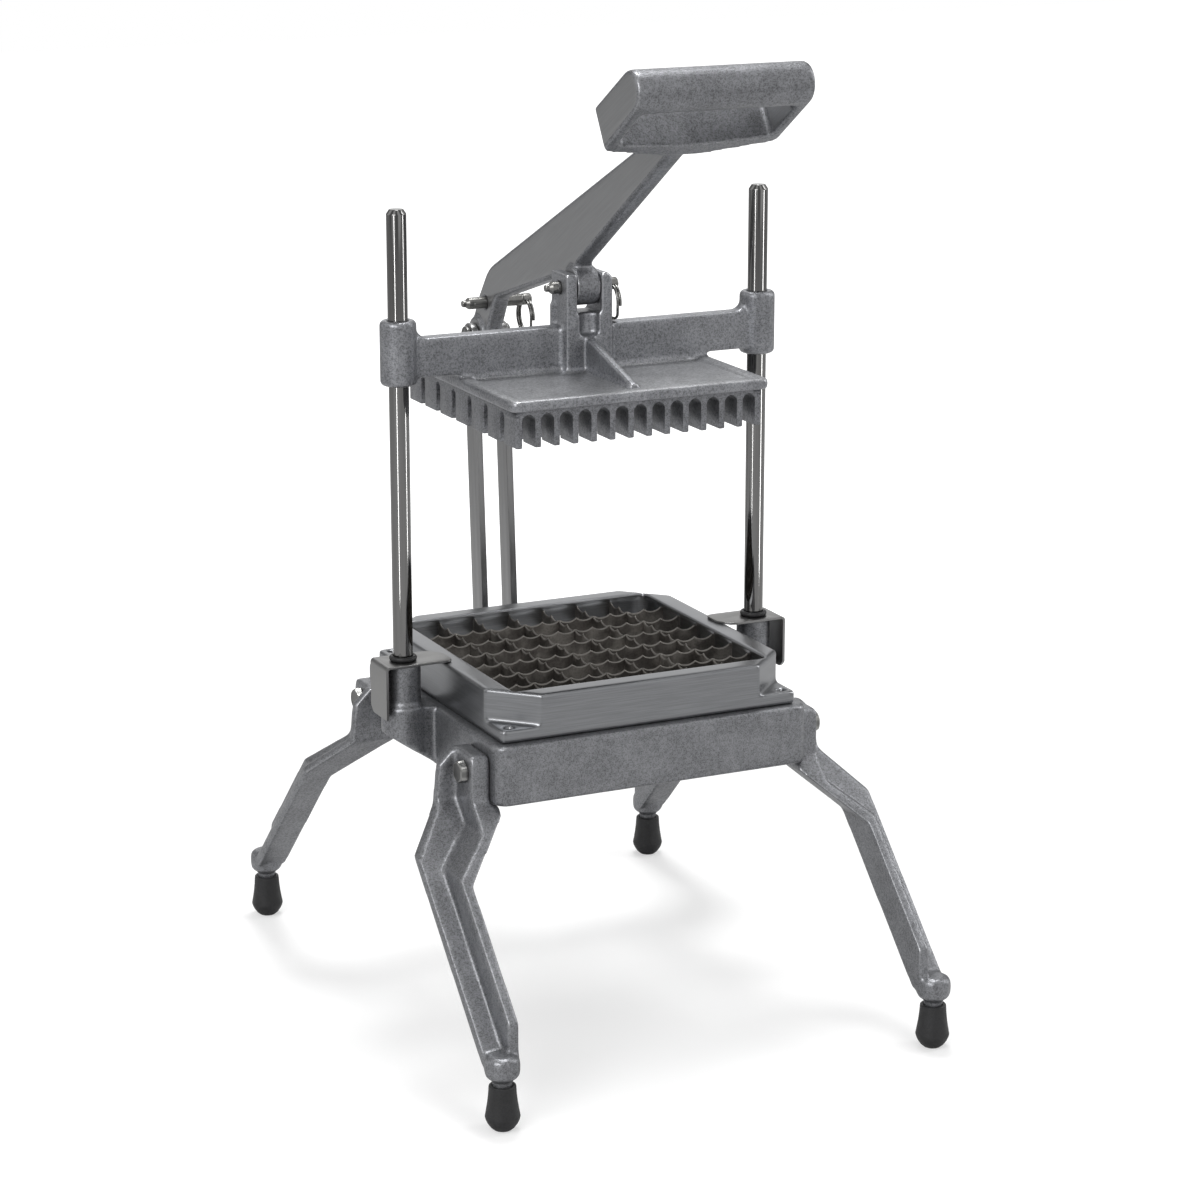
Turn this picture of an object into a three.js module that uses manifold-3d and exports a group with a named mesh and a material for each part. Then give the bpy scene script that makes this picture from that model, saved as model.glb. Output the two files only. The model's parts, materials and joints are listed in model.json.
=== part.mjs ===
// A hand lettuce cutter. A lever handle drives a finger plate down two guide rods and through a
// grid of scalloped blades. The cut leaves fall through the open base, which stands on four legs.
//
// Units are millimetres. Z points up, X runs to the right across the front, Y runs to the back.
// The origin is on the floor, under the middle of the base.

import * as THREE from 'three';
import { mergeVertices } from 'three/addons/utils/BufferGeometryUtils.js';
import Module from 'manifold-3d';

// Clearances and facets
const fit = 0.3;
const overrun = 2;
const wideSides = 24;
const smallSides = 12;
const arcSteps = 4;
const crownSteps = 3;

// Grid of cuts, which sets the blades, the fingers and the slots between them
const gridPitch = 12.7;
const gridSteps = 7;

// Guide rods
const rodRadius = 6.35;
const rodOutboard = 17;
const rodAbovePivot = 57.3;
const rodChamfer = 2.2;
const rodSocketDepth = 15.5;

// Base casting, an open square ring
const baseMargin = 6.5;
const baseBottom = 168;
const baseHeight = 39.2;
const baseCorner = 9;
const baseEdge = 2;
const baseWall = 9;
const baseLedge = 20;
const baseLedgeDepth = 9;

// Lug and boss that carry each guide rod
const lugRadius = 14.8;
const lugHalfWidth = 11.5;
const lugRise = 1.3;
const lugTipDrop = 17;
const lugRootDrop = 40;
const bossRadius = 11.3;
const bossAboveFrame = 0.2;
const bossFlare = 3;

// Bracket at the back that carries the link
const linkFootOutboard = 30;
const linkFootDrop = 17.2;
const bracketHalfWidth = 8.4;
const bracketRadius = 13;

// Blade frame
const frameWall = 14.6;
const frameHeight = 29.3;
const frameFlange = 8.5;
const frameCut = 27;
const frameLip = 2.5;
const frameLipEdge = 1.2;
const frameRelief = 2;
const frameReliefCorner = 10;
const frameInnerCorner = 3;
const frameOuterCorner = 3;
const frameHoleRadius = 3;
const frameHoleInset = 7.5;
const frameGroove = 4;

// Blades
const bladeThickness = 1;
const bladeSunk = 3.9;
const bladeHeight = 13;
const lowBladeDrop = 14;
const lowBladeHeight = 10;
const scallopDepth = 2.3;
const scallopSteps = 3;

// Hold-down clips
const clipSheet = 1.6;
const clipOuter = 17.2;
const clipTongue = 29.5;
const clipHalfWidth = 13.5;
const clipLegDrop = 35.3;
const clipLegChamfer = 4;
const clipSlant = 11;
const clipSmallCorner = 4;

// O-rings
const ringOuter = 9;
const ringHeight = 3.3;
const ringEdge = 1.2;

// Legs, one L-section casting at each corner
const padThickness = 12.5;
const padSetback = 11;
const padWidth = 31.5;
const padDrop = 7.2;
const legTuck = 5;
const legTuckDrop = 5;
const legBendDrop = 13;
const kneeOutboard = 23.9;
const kneeBelowBend = 20;
const legWall = 7.4;
const legFlange = 7.5;
const flangeTopWidth = 11.5;
const flangeBendWidth = 14.1;
const flangeKneeWidth = 14;
const flangeCut = 10.5;
const flangeFillet = 5;
const legSlopeDrop = 3.4;
const legSplay = 129.4;
const ankleDepth = 9.7;
const ankleBottom = 39;
const ankleRise = 27.5;
const footOutboard = 3.9;
const footBehindAnkle = 8.9;
const ankleBossRadius = 11.2;
const ankleBossRound = 4.5;
const ankleBossBottom = 33;
const ankleBossTop = 48.4;
const studRadius = 6.3;
const studBottom = 12;

// Rubber feet
const footTop = 29;
const footTopRadius = 8.3;
const footWideRadius = 10.85;
const footWideHeight = 9;
const footTreadRadius = 5;

// Leg bolts
const boltRadius = 4;
const boltAcrossFlats = 13;
const boltHead = 5;
const boltChamfer = 0.6;
const boltFromPadFar = 12;
const boltFromPadTop = 12;
const boltLength = 19;

// Pusher casting: finger block, plate, crossbar and sleeves
const loadingHeight = 156.6;
const fingerWidth = 4.2;
const fingerDepth = 18.9;
const slotDepth = 21.2;
const crossSlotDrop = 0.8;
const fingerLength = 23.3;
const plateThickness = 7.2;
const plateBorderX = 4.3;
const plateBorderY = 4.8;
const plateCorner = 5;
const plateEdge = 1.6;
const plateRim = 9;
const plateSink = 2;
const barHalf = 6;
const barRise = 2.3;
const barHeight = 25;
const barEdge = 1.2;
const sleeveRadius = 11.7;
const sleeveDrop = 4.5;
const sleeveRise = 12;
const sleeveEdge = 1.8;
const sleeveWebHalf = 4;
const sleeveWebRise = 4;

// Clevis on the crossbar
const pivotRise = 24.3;
const clevisGap = 16.7;
const clevisEar = 7.85;
const clevisFront = 12.5;
const clevisBack = 11.5;
const clevisAbovePivot = 9.5;
const clevisChamfer = 3;
const saddleRise = 8;
const troughRadius = 7;
const troughDrop = 6;
const columnRadius = 3.6;
const columnInset = 1;
const columnRise = 15;
const columnShoulder = 2;
const columnBack = 7.5;
const ribHalf = 3;
const ribDrop = 7;
const ribShort = 12.5;
const ribFootRise = 1.5;
const cornerFillet = 6;

// Handle casting, measured from the clevis pin
const hubRadius = 12.4;
const armHalf = 6;
const armEdge = 2.4;
const shoulderBeforePin = 16.3;
const shoulderDrop = 8.7;
const shoulderRound = 36;
const legBackPastPin = 0.4;
const legBackDrop = 30.5;
const undersideNear = 16;
const undersideNearRise = 5.2;
const undersideBeforePin = 28.8;
const undersideFarDrop = 28;
const throatRound = 8;
const linkPinBehindFoot = 13.6;
const linkPinDrop = 57.3;
const linkEyeRadius = 12.5;
const linkEyeHalf = 8.3;
const stopPinBeforePin = 12.3;
const stopPinDrop = 33;
const stopPinRight = 3;
const armFrontRise = 14.8;
const armFrontBack = -5;
const armTopForward = 137.5;
const armTopRise = 121.1;
const armBottomForward = 145;
const armBottomRise = 107;

// Grip, a closed loop that leans with the arm
const gripForward = 186.5;
const gripRise = 145;
const gripLean = 0.526;
const gripHalf = 58;
const gripBarRadius = 13;
const gripBack = 61;
const gripBulge = 12;
const gripBulgeFlat = 9;
const gripEndWall = 7;
const gripWebWall = 13;
const gripWindowBulge = 5;
const gripBelow = 16.5;
const gripAbove = 11.5;
const gripWebTop = 7.3;
const gripEdge = 2;
const gripCorner = 6;
const windowCorner = 5;

// Link bars
const linkThickness = 4.7;
const linkGap = 0.4;
const linkRadius = 8.5;
const linkScrewHead = 2.5;
const linkScrewHeadRadius = 6.4;
const linkScrewRadius = 4;
const linkBoltHead = 4.5;

// Ball-lock pins
const lockRadius = 3.97;
const lockLeft = 26;
const lockRight = 24.6;
const lockTaper = 6;
const lockTipRadius = 2.4;
const lockBallRadius = 1.1;
const lockBallInset = 8;
const lockBallRise = 0.2;
const lockHoleInset = 3.6;
const lockHoleRadius = 2.4;

// Split rings
const splitRadius = 11.4;
const splitWire = 0.9;
const splitPitch = 1.9;
const splitTurns = 1.84;
const splitStart = -2;
const splitSteps = 36;
const splitSides = 6;

// Reaches that follow, from the blade opening outwards
const frameInner = gridPitch * gridSteps;
const frameHalf = frameInner + frameWall;
const baseHalf = frameHalf + baseMargin;
const baseLedgeHalf = baseHalf - baseLedge;
const rodReach = baseHalf + rodOutboard;
const linkFootBack = baseHalf + linkFootOutboard;
const linkPinBack = linkFootBack + linkPinBehindFoot;
const shoulderBack = linkPinBack - shoulderBeforePin;
const legBackOut = linkPinBack + legBackPastPin;
const undersideFar = linkPinBack - undersideBeforePin;
const stopPinBack = linkPinBack - stopPinBeforePin;
const padOuter = baseHalf + padThickness;
const padFar = baseHalf - padSetback;
const padNear = padFar - padWidth;
const boltAlong = padFar - boltFromPadFar;
const kneeReach = padOuter + kneeOutboard;
const flangeTopReach = padOuter + flangeTopWidth;
const flangeBendReach = padOuter + flangeBendWidth;
const flangeKneeReach = kneeReach + flangeKneeWidth;
const footReachX = kneeReach + footOutboard;
const ankleNear = padNear + legSplay;
const ankleFar = ankleNear + ankleDepth;
const footReachY = ankleNear + footBehindAnkle;
const fingerReachX = (gridSteps - 1 / 2) * gridPitch + fingerWidth / 2;
const fingerReachY = (gridSteps - 1) * gridPitch + fingerDepth / 2;
const plateHalfX = fingerReachX + plateBorderX;
const plateHalfY = fingerReachY + plateBorderY;
const ribReach = plateHalfY - ribShort;

// Heights that follow, from the base upwards
const baseTop = baseBottom + baseHeight;
const padTop = baseTop - padDrop;
const boltHeight = padTop - boltFromPadTop;
const legBend = baseBottom - legBendDrop;
const kneeHeight = legBend - kneeBelowBend;
const legSlopeTop = baseBottom - legSlopeDrop;
const linkFootHeight = baseTop - linkFootDrop;
const lugTop = baseTop + lugRise;
const rodBottom = lugTop - rodSocketDepth;
const frameBottom = baseTop;
const frameTop = frameBottom + frameHeight;
const bladeTop = frameTop - bladeSunk;
const lowBladeTop = bladeTop - lowBladeDrop;
const bossTop = frameTop + bossAboveFrame;
const clipBottom = bossTop;
const clipTop = clipBottom + clipSheet;
const clipLegBottom = clipTop - clipLegDrop;
const fingerBottom = bladeTop + loadingHeight;
const slotCrown = fingerBottom + slotDepth;
const plateBottom = fingerBottom + fingerLength;
const plateTop = plateBottom + plateThickness;
const barBottom = plateTop + barRise;
const barTop = barBottom + barHeight;
const sleeveBottom = barBottom - sleeveDrop;
const sleeveTop = barTop + sleeveRise;
const saddleTop = barTop + saddleRise;
const troughFloor = barTop - troughDrop;
const columnTop = barTop + columnRise;
const ribTop = barTop - ribDrop;
const ribFoot = plateTop + ribFootRise;
const pivotHeight = barTop + pivotRise;
const clevisTop = pivotHeight + clevisAbovePivot;
const rodTop = pivotHeight + rodAbovePivot;

// Widths that follow at the grip and the pivots
const gripWindowHalf = gripHalf - gripEndWall;
const gripWindowBack = gripBack - gripWebWall;
const hubEar = clevisGap / 2;
const hubHalfWidth = hubEar - fit;
const clevisHalf = hubEar + clevisEar;
const linkInner = linkEyeHalf + linkGap;
const linkOuter = linkInner + linkThickness;

const wasm = await Module();
wasm.setup();

// Materials
const paint = (color, roughness, metalness) => new THREE.MeshStandardMaterial({ color, roughness, metalness });
const castAluminium = paint(0x8e9094, 0.55, 0.7);
const brushedAluminium = paint(0x9b9c9f, 0.4, 0.85);
const polishedSteel = paint(0xc8cacc, 0.12, 1);
const satinSteel = paint(0xa2a3a4, 0.35, 1);
const bladeSteel = paint(0x6b635c, 0.4, 0.9);
const blackRubber = paint(0x141414, 0.8, 0);

// A closed three.js geometry as a solid that can be joined and cut.
function solidOf(geometry) {
  const bare = geometry.clone();
  bare.deleteAttribute('normal');
  bare.deleteAttribute('uv');
  const merged = mergeVertices(bare);
  return new wasm.Manifold(new wasm.Mesh({
    numProp: 3,
    vertProperties: new Float32Array(merged.attributes.position.array),
    triVerts: new Uint32Array(merged.index.array),
  }));
}

// A named mesh made from a solid.
function piece(name, solid, material) {
  const mesh = solid.getMesh();
  const geometry = new THREE.BufferGeometry();
  geometry.setAttribute('position', new THREE.BufferAttribute(new Float32Array(mesh.vertProperties), 3));
  geometry.setIndex(new THREE.BufferAttribute(new Uint32Array(mesh.triVerts), 1));
  geometry.computeVertexNormals();
  const result = new THREE.Mesh(geometry, material);
  result.name = name;
  return result;
}

const joined = (first, ...others) => others.reduce((sum, next) => sum.add(next), first);
const cut = (first, ...others) => others.reduce((rest, next) => rest.subtract(next), first);
const mirroredX = (solid) => solid.mirror([1, 0, 0]);

// A box given by its range along each axis.
function block([x0, x1], [y0, y1], [z0, z1]) {
  const geometry = new THREE.BoxGeometry(x1 - x0, y1 - y0, z1 - z0);
  geometry.translate((x0 + x1) / 2, (y0 + y1) / 2, (z0 + z1) / 2);
  return solidOf(geometry);
}

// A closed outline. Each corner is [across, up] or [across, up, radius].
function outline(corners, steps = arcSteps) {
  const points = [];
  const count = corners.length;
  corners.forEach(([x, y, radius = 0], index) => {
    const here = new THREE.Vector2(x, y);
    if (radius === 0) {
      points.push(here);
      return;
    }
    const before = new THREE.Vector2(...corners[(index + count - 1) % count]).sub(here).normalize();
    const after = new THREE.Vector2(...corners[(index + 1) % count]).sub(here).normalize();
    const halfAngle = Math.acos(THREE.MathUtils.clamp(before.dot(after), -1, 1)) / 2;
    const middle = before.clone().add(after).normalize();
    const centre = here.clone().addScaledVector(middle, radius / Math.sin(halfAngle));
    const start = before.multiplyScalar(radius / Math.tan(halfAngle)).add(here).sub(centre);
    const end = after.multiplyScalar(radius / Math.tan(halfAngle)).add(here).sub(centre);
    const turn = Math.atan2(start.cross(end), start.dot(end));
    for (let step = 0; step <= steps; step += 1) {
      points.push(start.clone().rotateAround(new THREE.Vector2(), (turn * step) / steps).add(centre));
    }
  });
  return new THREE.Shape(points);
}

// Points on an arc about the origin, as corners for an outline.
function arcPoints(radius, from, to, steps) {
  return Array.from({ length: steps + 1 }, (_, step) => {
    const angle = from + ((to - from) * step) / steps;
    return [radius * Math.cos(angle), radius * Math.sin(angle)];
  });
}

const rectangle = (halfX, halfY, corner = 0) => outline([
  [-halfX, -halfY, corner],
  [halfX, -halfY, corner],
  [halfX, halfY, corner],
  [-halfX, halfY, corner],
]);

// A straight prism of an outline, with its two end edges rounded off by edge.
function prism(shape, [from, to], edge = 0) {
  const geometry = new THREE.ExtrudeGeometry(shape, {
    depth: to - from - 2 * edge,
    curveSegments: arcSteps,
    bevelEnabled: edge > 0,
    bevelThickness: edge,
    bevelSize: edge,
    bevelOffset: -edge,
    bevelSegments: 2,
  });
  geometry.translate(0, 0, from + edge);
  return geometry;
}

// Prisms of an outline drawn in (Y, Z), (X, Z) and (X, Y).
function prismX(shape, range, edge) {
  const swap = new THREE.Matrix4().makeBasis(
    new THREE.Vector3(0, 1, 0),
    new THREE.Vector3(0, 0, 1),
    new THREE.Vector3(1, 0, 0),
  );
  return solidOf(prism(shape, range, edge).applyMatrix4(swap));
}

function prismY(shape, [from, to], edge) {
  return solidOf(prism(shape, [-to, -from], edge).rotateX(Math.PI / 2));
}

function prismZ(shape, range, edge) {
  return solidOf(prism(shape, range, edge));
}

// A turned solid about a vertical axis. The profile is a list of [radius, height].
function turned(profile, [x, y] = [0, 0], sides = wideSides) {
  const points = profile.map(([radius, height]) => new THREE.Vector2(radius, height));
  const geometry = new THREE.LatheGeometry(points, sides);
  geometry.rotateX(Math.PI / 2);
  geometry.translate(x, y, 0);
  return solidOf(geometry);
}

// Cylinders along each axis.
function cylinderZ(radius, [x, y], [z0, z1], sides = wideSides) {
  const geometry = new THREE.CylinderGeometry(radius, radius, z1 - z0, sides);
  geometry.rotateX(Math.PI / 2);
  geometry.translate(x, y, (z0 + z1) / 2);
  return solidOf(geometry);
}

function cylinderX(radius, [x0, x1], [y, z], sides = wideSides) {
  const geometry = new THREE.CylinderGeometry(radius, radius, x1 - x0, sides);
  geometry.rotateZ(Math.PI / 2);
  geometry.translate((x0 + x1) / 2, y, z);
  return solidOf(geometry);
}

function cylinderY(radius, [y0, y1], [x, z], sides = smallSides) {
  const geometry = new THREE.CylinderGeometry(radius, radius, y1 - y0, sides);
  geometry.translate(x, (y0 + y1) / 2, z);
  return solidOf(geometry);
}

// Places of the grid lines on one side and the other: odd ones, then even ones.
const gridLines = Array.from({ length: 2 * gridSteps - 1 }, (_, index) => index - gridSteps + 1);
const oddLines = gridLines.filter((line) => line % 2 !== 0);
const evenLines = gridLines.filter((line) => line % 2 === 0);

// Base casting: ring, rod lugs with their bosses, and the bracket for the link.
function makeBase() {
  const ring = cut(
    prismZ(rectangle(baseHalf, baseHalf, baseCorner), [baseBottom, baseTop], baseEdge),
    prismZ(rectangle(baseLedgeHalf, baseLedgeHalf, baseEdge), [baseBottom - overrun, baseTop + overrun]),
    prismZ(
      rectangle(baseHalf - baseWall, baseHalf - baseWall, baseCorner),
      [baseBottom - overrun, baseTop - baseLedgeDepth],
    ),
  );
  const boltHoles = [];
  for (const side of [-1, 1]) {
    for (const end of [-1, 1]) {
      const across = [side * baseHalf, side * (baseLedgeHalf - overrun)].sort((a, b) => a - b);
      boltHoles.push(cylinderX(boltRadius + fit, across, [end * boltAlong, boltHeight], smallSides));
    }
  }
  const rightLug = makeRodLug();
  return cut(joined(ring, rightLug, mirroredX(rightLug), makeLinkBracket()), ...boltHoles);
}

// The right lug: round at its end, sloped below, with a boss bored for the rod.
function makeRodLug() {
  const root = baseHalf - baseEdge;
  const tip = rodReach + lugRadius;
  const side = outline([
    [root, lugTop],
    [root, lugTop - lugRootDrop],
    [tip, lugTop - lugTipDrop],
    [tip, lugTop],
  ]);
  const plan = joined(
    block([root, rodReach], [-lugHalfWidth, lugHalfWidth], [baseBottom, lugTop]),
    cylinderZ(lugRadius, [rodReach, 0], [baseBottom, lugTop]),
  );
  const boss = turned([
    [0, lugTop - overrun],
    [bossRadius + bossFlare, lugTop - overrun],
    [bossRadius + bossFlare, lugTop],
    [bossRadius, lugTop + bossFlare],
    [bossRadius, bossTop],
    [0, bossTop],
  ], [rodReach, 0]);
  const bore = cylinderZ(rodRadius + fit, [rodReach, 0], [rodBottom, bossTop + overrun]);
  const shaped = plan.intersect(prismY(side, [-lugRadius - overrun, lugRadius + overrun]));
  return cut(joined(shaped, boss), bore);
}

// A tongue on the back wall that fits between the two link bars.
function makeLinkBracket() {
  const wall = baseHalf - baseEdge;
  const shape = outline([
    [wall, linkFootHeight - bracketRadius],
    [linkFootBack + bracketRadius, linkFootHeight - bracketRadius, bracketRadius - fit],
    [linkFootBack + bracketRadius, linkFootHeight + bracketRadius, bracketRadius - fit],
    [wall, linkFootHeight + bracketRadius],
  ], 2 * arcSteps);
  const across = [-bracketHalfWidth, bracketHalfWidth];
  const through = [-bracketHalfWidth - overrun, bracketHalfWidth + overrun];
  const hole = cylinderX(linkScrewRadius + fit, through, [linkFootBack, linkFootHeight], smallSides);
  return prismX(shape, across).subtract(hole);
}

function makeRod(side) {
  return turned([
    [0, rodBottom],
    [rodRadius, rodBottom],
    [rodRadius, rodTop - rodChamfer],
    [rodRadius - rodChamfer, rodTop],
    [0, rodTop],
  ], [side * rodReach, 0]);
}

function makeORing(side) {
  const inner = rodRadius + fit;
  const top = clipTop + ringHeight;
  const profile = [
    [inner, clipTop],
    [ringOuter - ringEdge, clipTop],
    [ringOuter, clipTop + ringEdge],
    [ringOuter, top - ringEdge],
    [ringOuter - ringEdge, top],
    [inner, top],
    [inner, clipTop],
  ];
  return turned(profile, [side * rodReach, 0]);
}

// A sheet clip that turns about its rod: tongue over the blade frame, leg bent down outside the lug.
function makeClip() {
  const outer = rodReach + clipOuter;
  const tip = rodReach - clipTongue;
  const plate = prismZ(outline([
    [outer, -clipHalfWidth],
    [outer, clipHalfWidth],
    [tip + clipSmallCorner, clipHalfWidth, clipSmallCorner],
    [tip, clipHalfWidth - clipSmallCorner, clipSmallCorner],
    [tip, clipSlant - clipHalfWidth, clipSmallCorner],
    [tip + clipSlant, -clipHalfWidth, clipSmallCorner],
  ]), [clipBottom, clipTop]);
  const leg = prismX(outline([
    [-clipHalfWidth, clipTop],
    [-clipHalfWidth, clipLegBottom + clipLegChamfer],
    [clipLegChamfer - clipHalfWidth, clipLegBottom],
    [clipHalfWidth, clipLegBottom],
    [clipHalfWidth, clipTop],
  ]), [outer - clipSheet, outer]);
  const hole = cylinderZ(rodRadius + fit, [rodReach, 0], [clipBottom - overrun, clipTop + overrun]);
  return joined(plate, leg).subtract(hole);
}

// One leg in the front right quarter, drawn as the common part of a side view and a front view.
// The wall carries the pad, the flange stiffens its inner edge, and both end in a boss with a stud.
function makeLeg() {
  const slope = (legSlopeTop - ankleBottom) / (ankleNear - padNear);
  const farBend = ankleBottom + ankleRise + slope * (ankleFar - padFar);
  const strip = legFlange * Math.hypot(1, slope);
  const under = baseBottom - fit;
  const wallSide = outline([
    [padNear, padTop],
    [padFar, padTop, flangeFillet],
    [padFar, farBend, flangeFillet],
    [ankleFar, ankleBottom + ankleRise, flangeFillet],
    [ankleFar, ankleBottom],
    [ankleNear, ankleBottom],
    [padNear, legSlopeTop],
  ]);
  const wallFront = outline([
    [baseHalf, padTop],
    [padOuter, padTop],
    [padOuter, legBend],
    [kneeReach, kneeHeight],
    [kneeReach, ankleBottom],
    [kneeReach - legWall, ankleBottom],
    [kneeReach - legWall, kneeHeight - legWall / 2],
    [baseHalf - legTuck, under - legTuckDrop],
    [baseHalf - legTuck, under],
    [baseHalf, under],
  ]);
  const flangeSide = outline([
    [padNear, padTop],
    [padNear + legFlange, padTop],
    [padNear + legFlange, legSlopeTop + strip - slope * legFlange],
    [ankleNear + legFlange, ankleBottom + strip - slope * legFlange],
    [ankleNear, ankleBottom],
    [padNear, legSlopeTop],
  ]);
  const flangeFront = outline([
    [baseHalf, padTop],
    [flangeTopReach - flangeCut, padTop],
    [flangeTopReach, padTop - flangeCut],
    [flangeBendReach, legSlopeTop],
    [flangeKneeReach, kneeHeight + flangeFillet],
    [flangeKneeReach, ankleBottom],
    [kneeReach - legWall, ankleBottom],
    [kneeReach - legWall, kneeHeight - legWall / 2],
    [baseHalf - legTuck, under - legTuckDrop],
    [baseHalf - legTuck, under],
    [baseHalf, under],
  ]);
  const depth = [padNear - overrun, ankleFar + overrun];
  const width = [baseHalf - legTuck - overrun, flangeKneeReach + overrun];
  const wall = prismX(wallSide, width).intersect(prismY(wallFront, depth));
  const flange = prismX(flangeSide, width).intersect(prismY(flangeFront, depth));
  const boss = outline([
    [0, studBottom],
    [studRadius, studBottom],
    [studRadius, ankleBossBottom],
    [ankleBossRadius, ankleBossBottom, ankleBossRound],
    [ankleBossRadius, ankleBossTop, ankleBossRound],
    [0, ankleBossTop],
  ]).getPoints().map(({ x, y }) => [x, y]);
  const ankle = turned(boss, [footReachX, footReachY], smallSides);
  const holeRange = [baseHalf - overrun, flangeKneeReach];
  const hole = cylinderX(boltRadius + fit, holeRange, [boltAlong, boltHeight], smallSides);
  return joined(wall, flange, ankle).subtract(hole);
}

function makeFoot() {
  const inner = studRadius + fit;
  return turned([
    [0, 0],
    [footTreadRadius, 0],
    [(footTreadRadius + footWideRadius) / 2, footWideHeight / 4],
    [footWideRadius, footWideHeight],
    [footTopRadius, (footWideHeight + footTop) / 2],
    [footTopRadius, footTop],
    [inner, footTop],
    [inner, studBottom - fit],
    [0, studBottom - fit],
  ], [footReachX, footReachY]);
}

// A hexagon bolt along X with its head outside the pad.
function makeLegBolt() {
  const corner = boltAcrossFlats / Math.sqrt(3);
  const hexagon = new THREE.Shape(Array.from({ length: 6 }, (_, index) => new THREE.Vector2(
    boltAlong + corner * Math.cos((index * Math.PI) / 3),
    boltHeight + corner * Math.sin((index * Math.PI) / 3),
  )));
  const head = prismX(hexagon, [padOuter, padOuter + boltHead], boltChamfer);
  const shankRange = [padOuter + boltHead - boltLength - boltHead, padOuter + boltChamfer];
  return head.add(cylinderX(boltRadius, shankRange, [boltAlong, boltHeight], smallSides));
}

// Blade frame: a rim with its corners cut away above a square flange, grooved for the blades.
function makeFrame() {
  const flange = prismZ(rectangle(frameHalf, frameHalf, frameOuterCorner), [frameBottom, frameBottom + frameFlange]);
  const cutAt = frameHalf - frameCut;
  const rim = prismZ(outline([
    [-cutAt, -frameHalf],
    [cutAt, -frameHalf],
    [frameHalf, -cutAt],
    [frameHalf, cutAt],
    [cutAt, frameHalf],
    [-cutAt, frameHalf],
    [-frameHalf, cutAt],
    [-frameHalf, -cutAt],
  ]), [frameBottom, frameTop], frameLipEdge);
  const opening = rectangle(frameInner, frameInner, frameInnerCorner);
  const relief = rectangle(frameInner + frameRelief, frameInner + frameRelief, frameReliefCorner);
  const cuts = [
    prismZ(opening, [frameBottom - overrun, frameTop + overrun]),
    prismZ(relief, [frameBottom - overrun, frameTop - frameLip]),
  ];
  for (const side of [-1, 1]) {
    for (const end of [-1, 1]) {
      const centre = [side * (frameHalf - frameHoleInset), end * (frameHalf - frameHoleInset)];
      const range = [frameBottom - overrun, frameBottom + frameFlange + overrun];
      cuts.push(cylinderZ(frameHoleRadius, centre, range, smallSides));
    }
  }
  return cut(joined(flange, rim), ...cuts, ...makeGrooves());
}

// Grooves in the frame's walls, open below, in which the ends of the blades stand.
function makeGrooves() {
  const half = bladeThickness / 2 + fit;
  const end = frameInner + frameGroove;
  const low = frameBottom - overrun;
  const across = (line) => [line * gridPitch - half, line * gridPitch + half];
  return [
    ...oddLines.map((line) => block([-end, end], across(line), [low, bladeTop + fit])),
    ...oddLines.map((line) => block(across(line), [-end, end], [low, bladeTop + fit])),
    ...evenLines.map((line) => block(across(line), [-end, end], [low, lowBladeTop + fit])),
  ];
}

// Outline of a blade: length across, height up, with a scalloped edge on top.
// Notches let the crossing blades through, from above or from below.
function bladeOutline(top, height, notchLines, notchFromTop) {
  const end = frameInner + frameGroove - fit;
  const half = bladeThickness / 2 + fit;
  const middle = top - height / 2;
  const corners = [];
  const notch = (line, edge, direction) => corners.push(
    [line * gridPitch - direction * half, edge],
    [line * gridPitch - direction * half, middle],
    [line * gridPitch + direction * half, middle],
    [line * gridPitch + direction * half, edge],
  );
  corners.push([-end, top - height]);
  if (!notchFromTop) {
    notchLines.forEach((line) => notch(line, top - height, 1));
  }
  corners.push([end, top - height]);
  corners.push([end, top]);
  for (let line = gridSteps; line > -gridSteps; line -= 1) {
    if (notchFromTop && notchLines.includes(line)) {
      notch(line, top - scallopDepth * (half / gridPitch) * scallopSteps, -1);
    } else {
      corners.push([line * gridPitch, top]);
    }
    for (let step = 1; step < scallopSteps; step += 1) {
      const along = step / scallopSteps;
      const sag = 1 - (2 * along - 1) ** 2;
      corners.push([(line - along) * gridPitch, top - scallopDepth * sag]);
    }
  }
  corners.push([-gridSteps * gridPitch, top]);
  corners.push([-end, top]);
  return outline(corners);
}

const bladeRange = (line) => [line * gridPitch - bladeThickness / 2, line * gridPitch + bladeThickness / 2];
const makeRowBlade = (line) => prismY(bladeOutline(bladeTop, bladeHeight, oddLines, false), bladeRange(line));
const makeColumnBlade = (line) => prismX(bladeOutline(bladeTop, bladeHeight, oddLines, true), bladeRange(line));
const makeLowBlade = (line) => prismX(bladeOutline(lowBladeTop, lowBladeHeight, [], false), bladeRange(line));

// Pusher casting: fingers, plate, crossbar, sleeves, clevis and front rib.
function makePusher() {
  const bores = [-1, 1].map((side) => cylinderZ(
    rodRadius + fit,
    [side * rodReach, 0],
    [sleeveBottom - overrun, sleeveTop + overrun],
  ));
  const body = joined(makeFingers(), makePlate(), makeCrossbar(), makeClevis());
  return cut(body, ...bores);
}

// A tunnel-shaped slot outline, centred on a line, with a round crown.
function slotOutline(centre, halfWidth, crown) {
  const points = [
    new THREE.Vector2(centre - halfWidth, fingerBottom - overrun),
    new THREE.Vector2(centre + halfWidth, fingerBottom - overrun),
  ];
  for (let step = 0; step <= 2 * crownSteps; step += 1) {
    const angle = (step * Math.PI) / (2 * crownSteps);
    points.push(new THREE.Vector2(
      centre + halfWidth * Math.cos(angle),
      crown - halfWidth + halfWidth * Math.sin(angle),
    ));
  }
  return new THREE.Shape(points);
}

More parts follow.
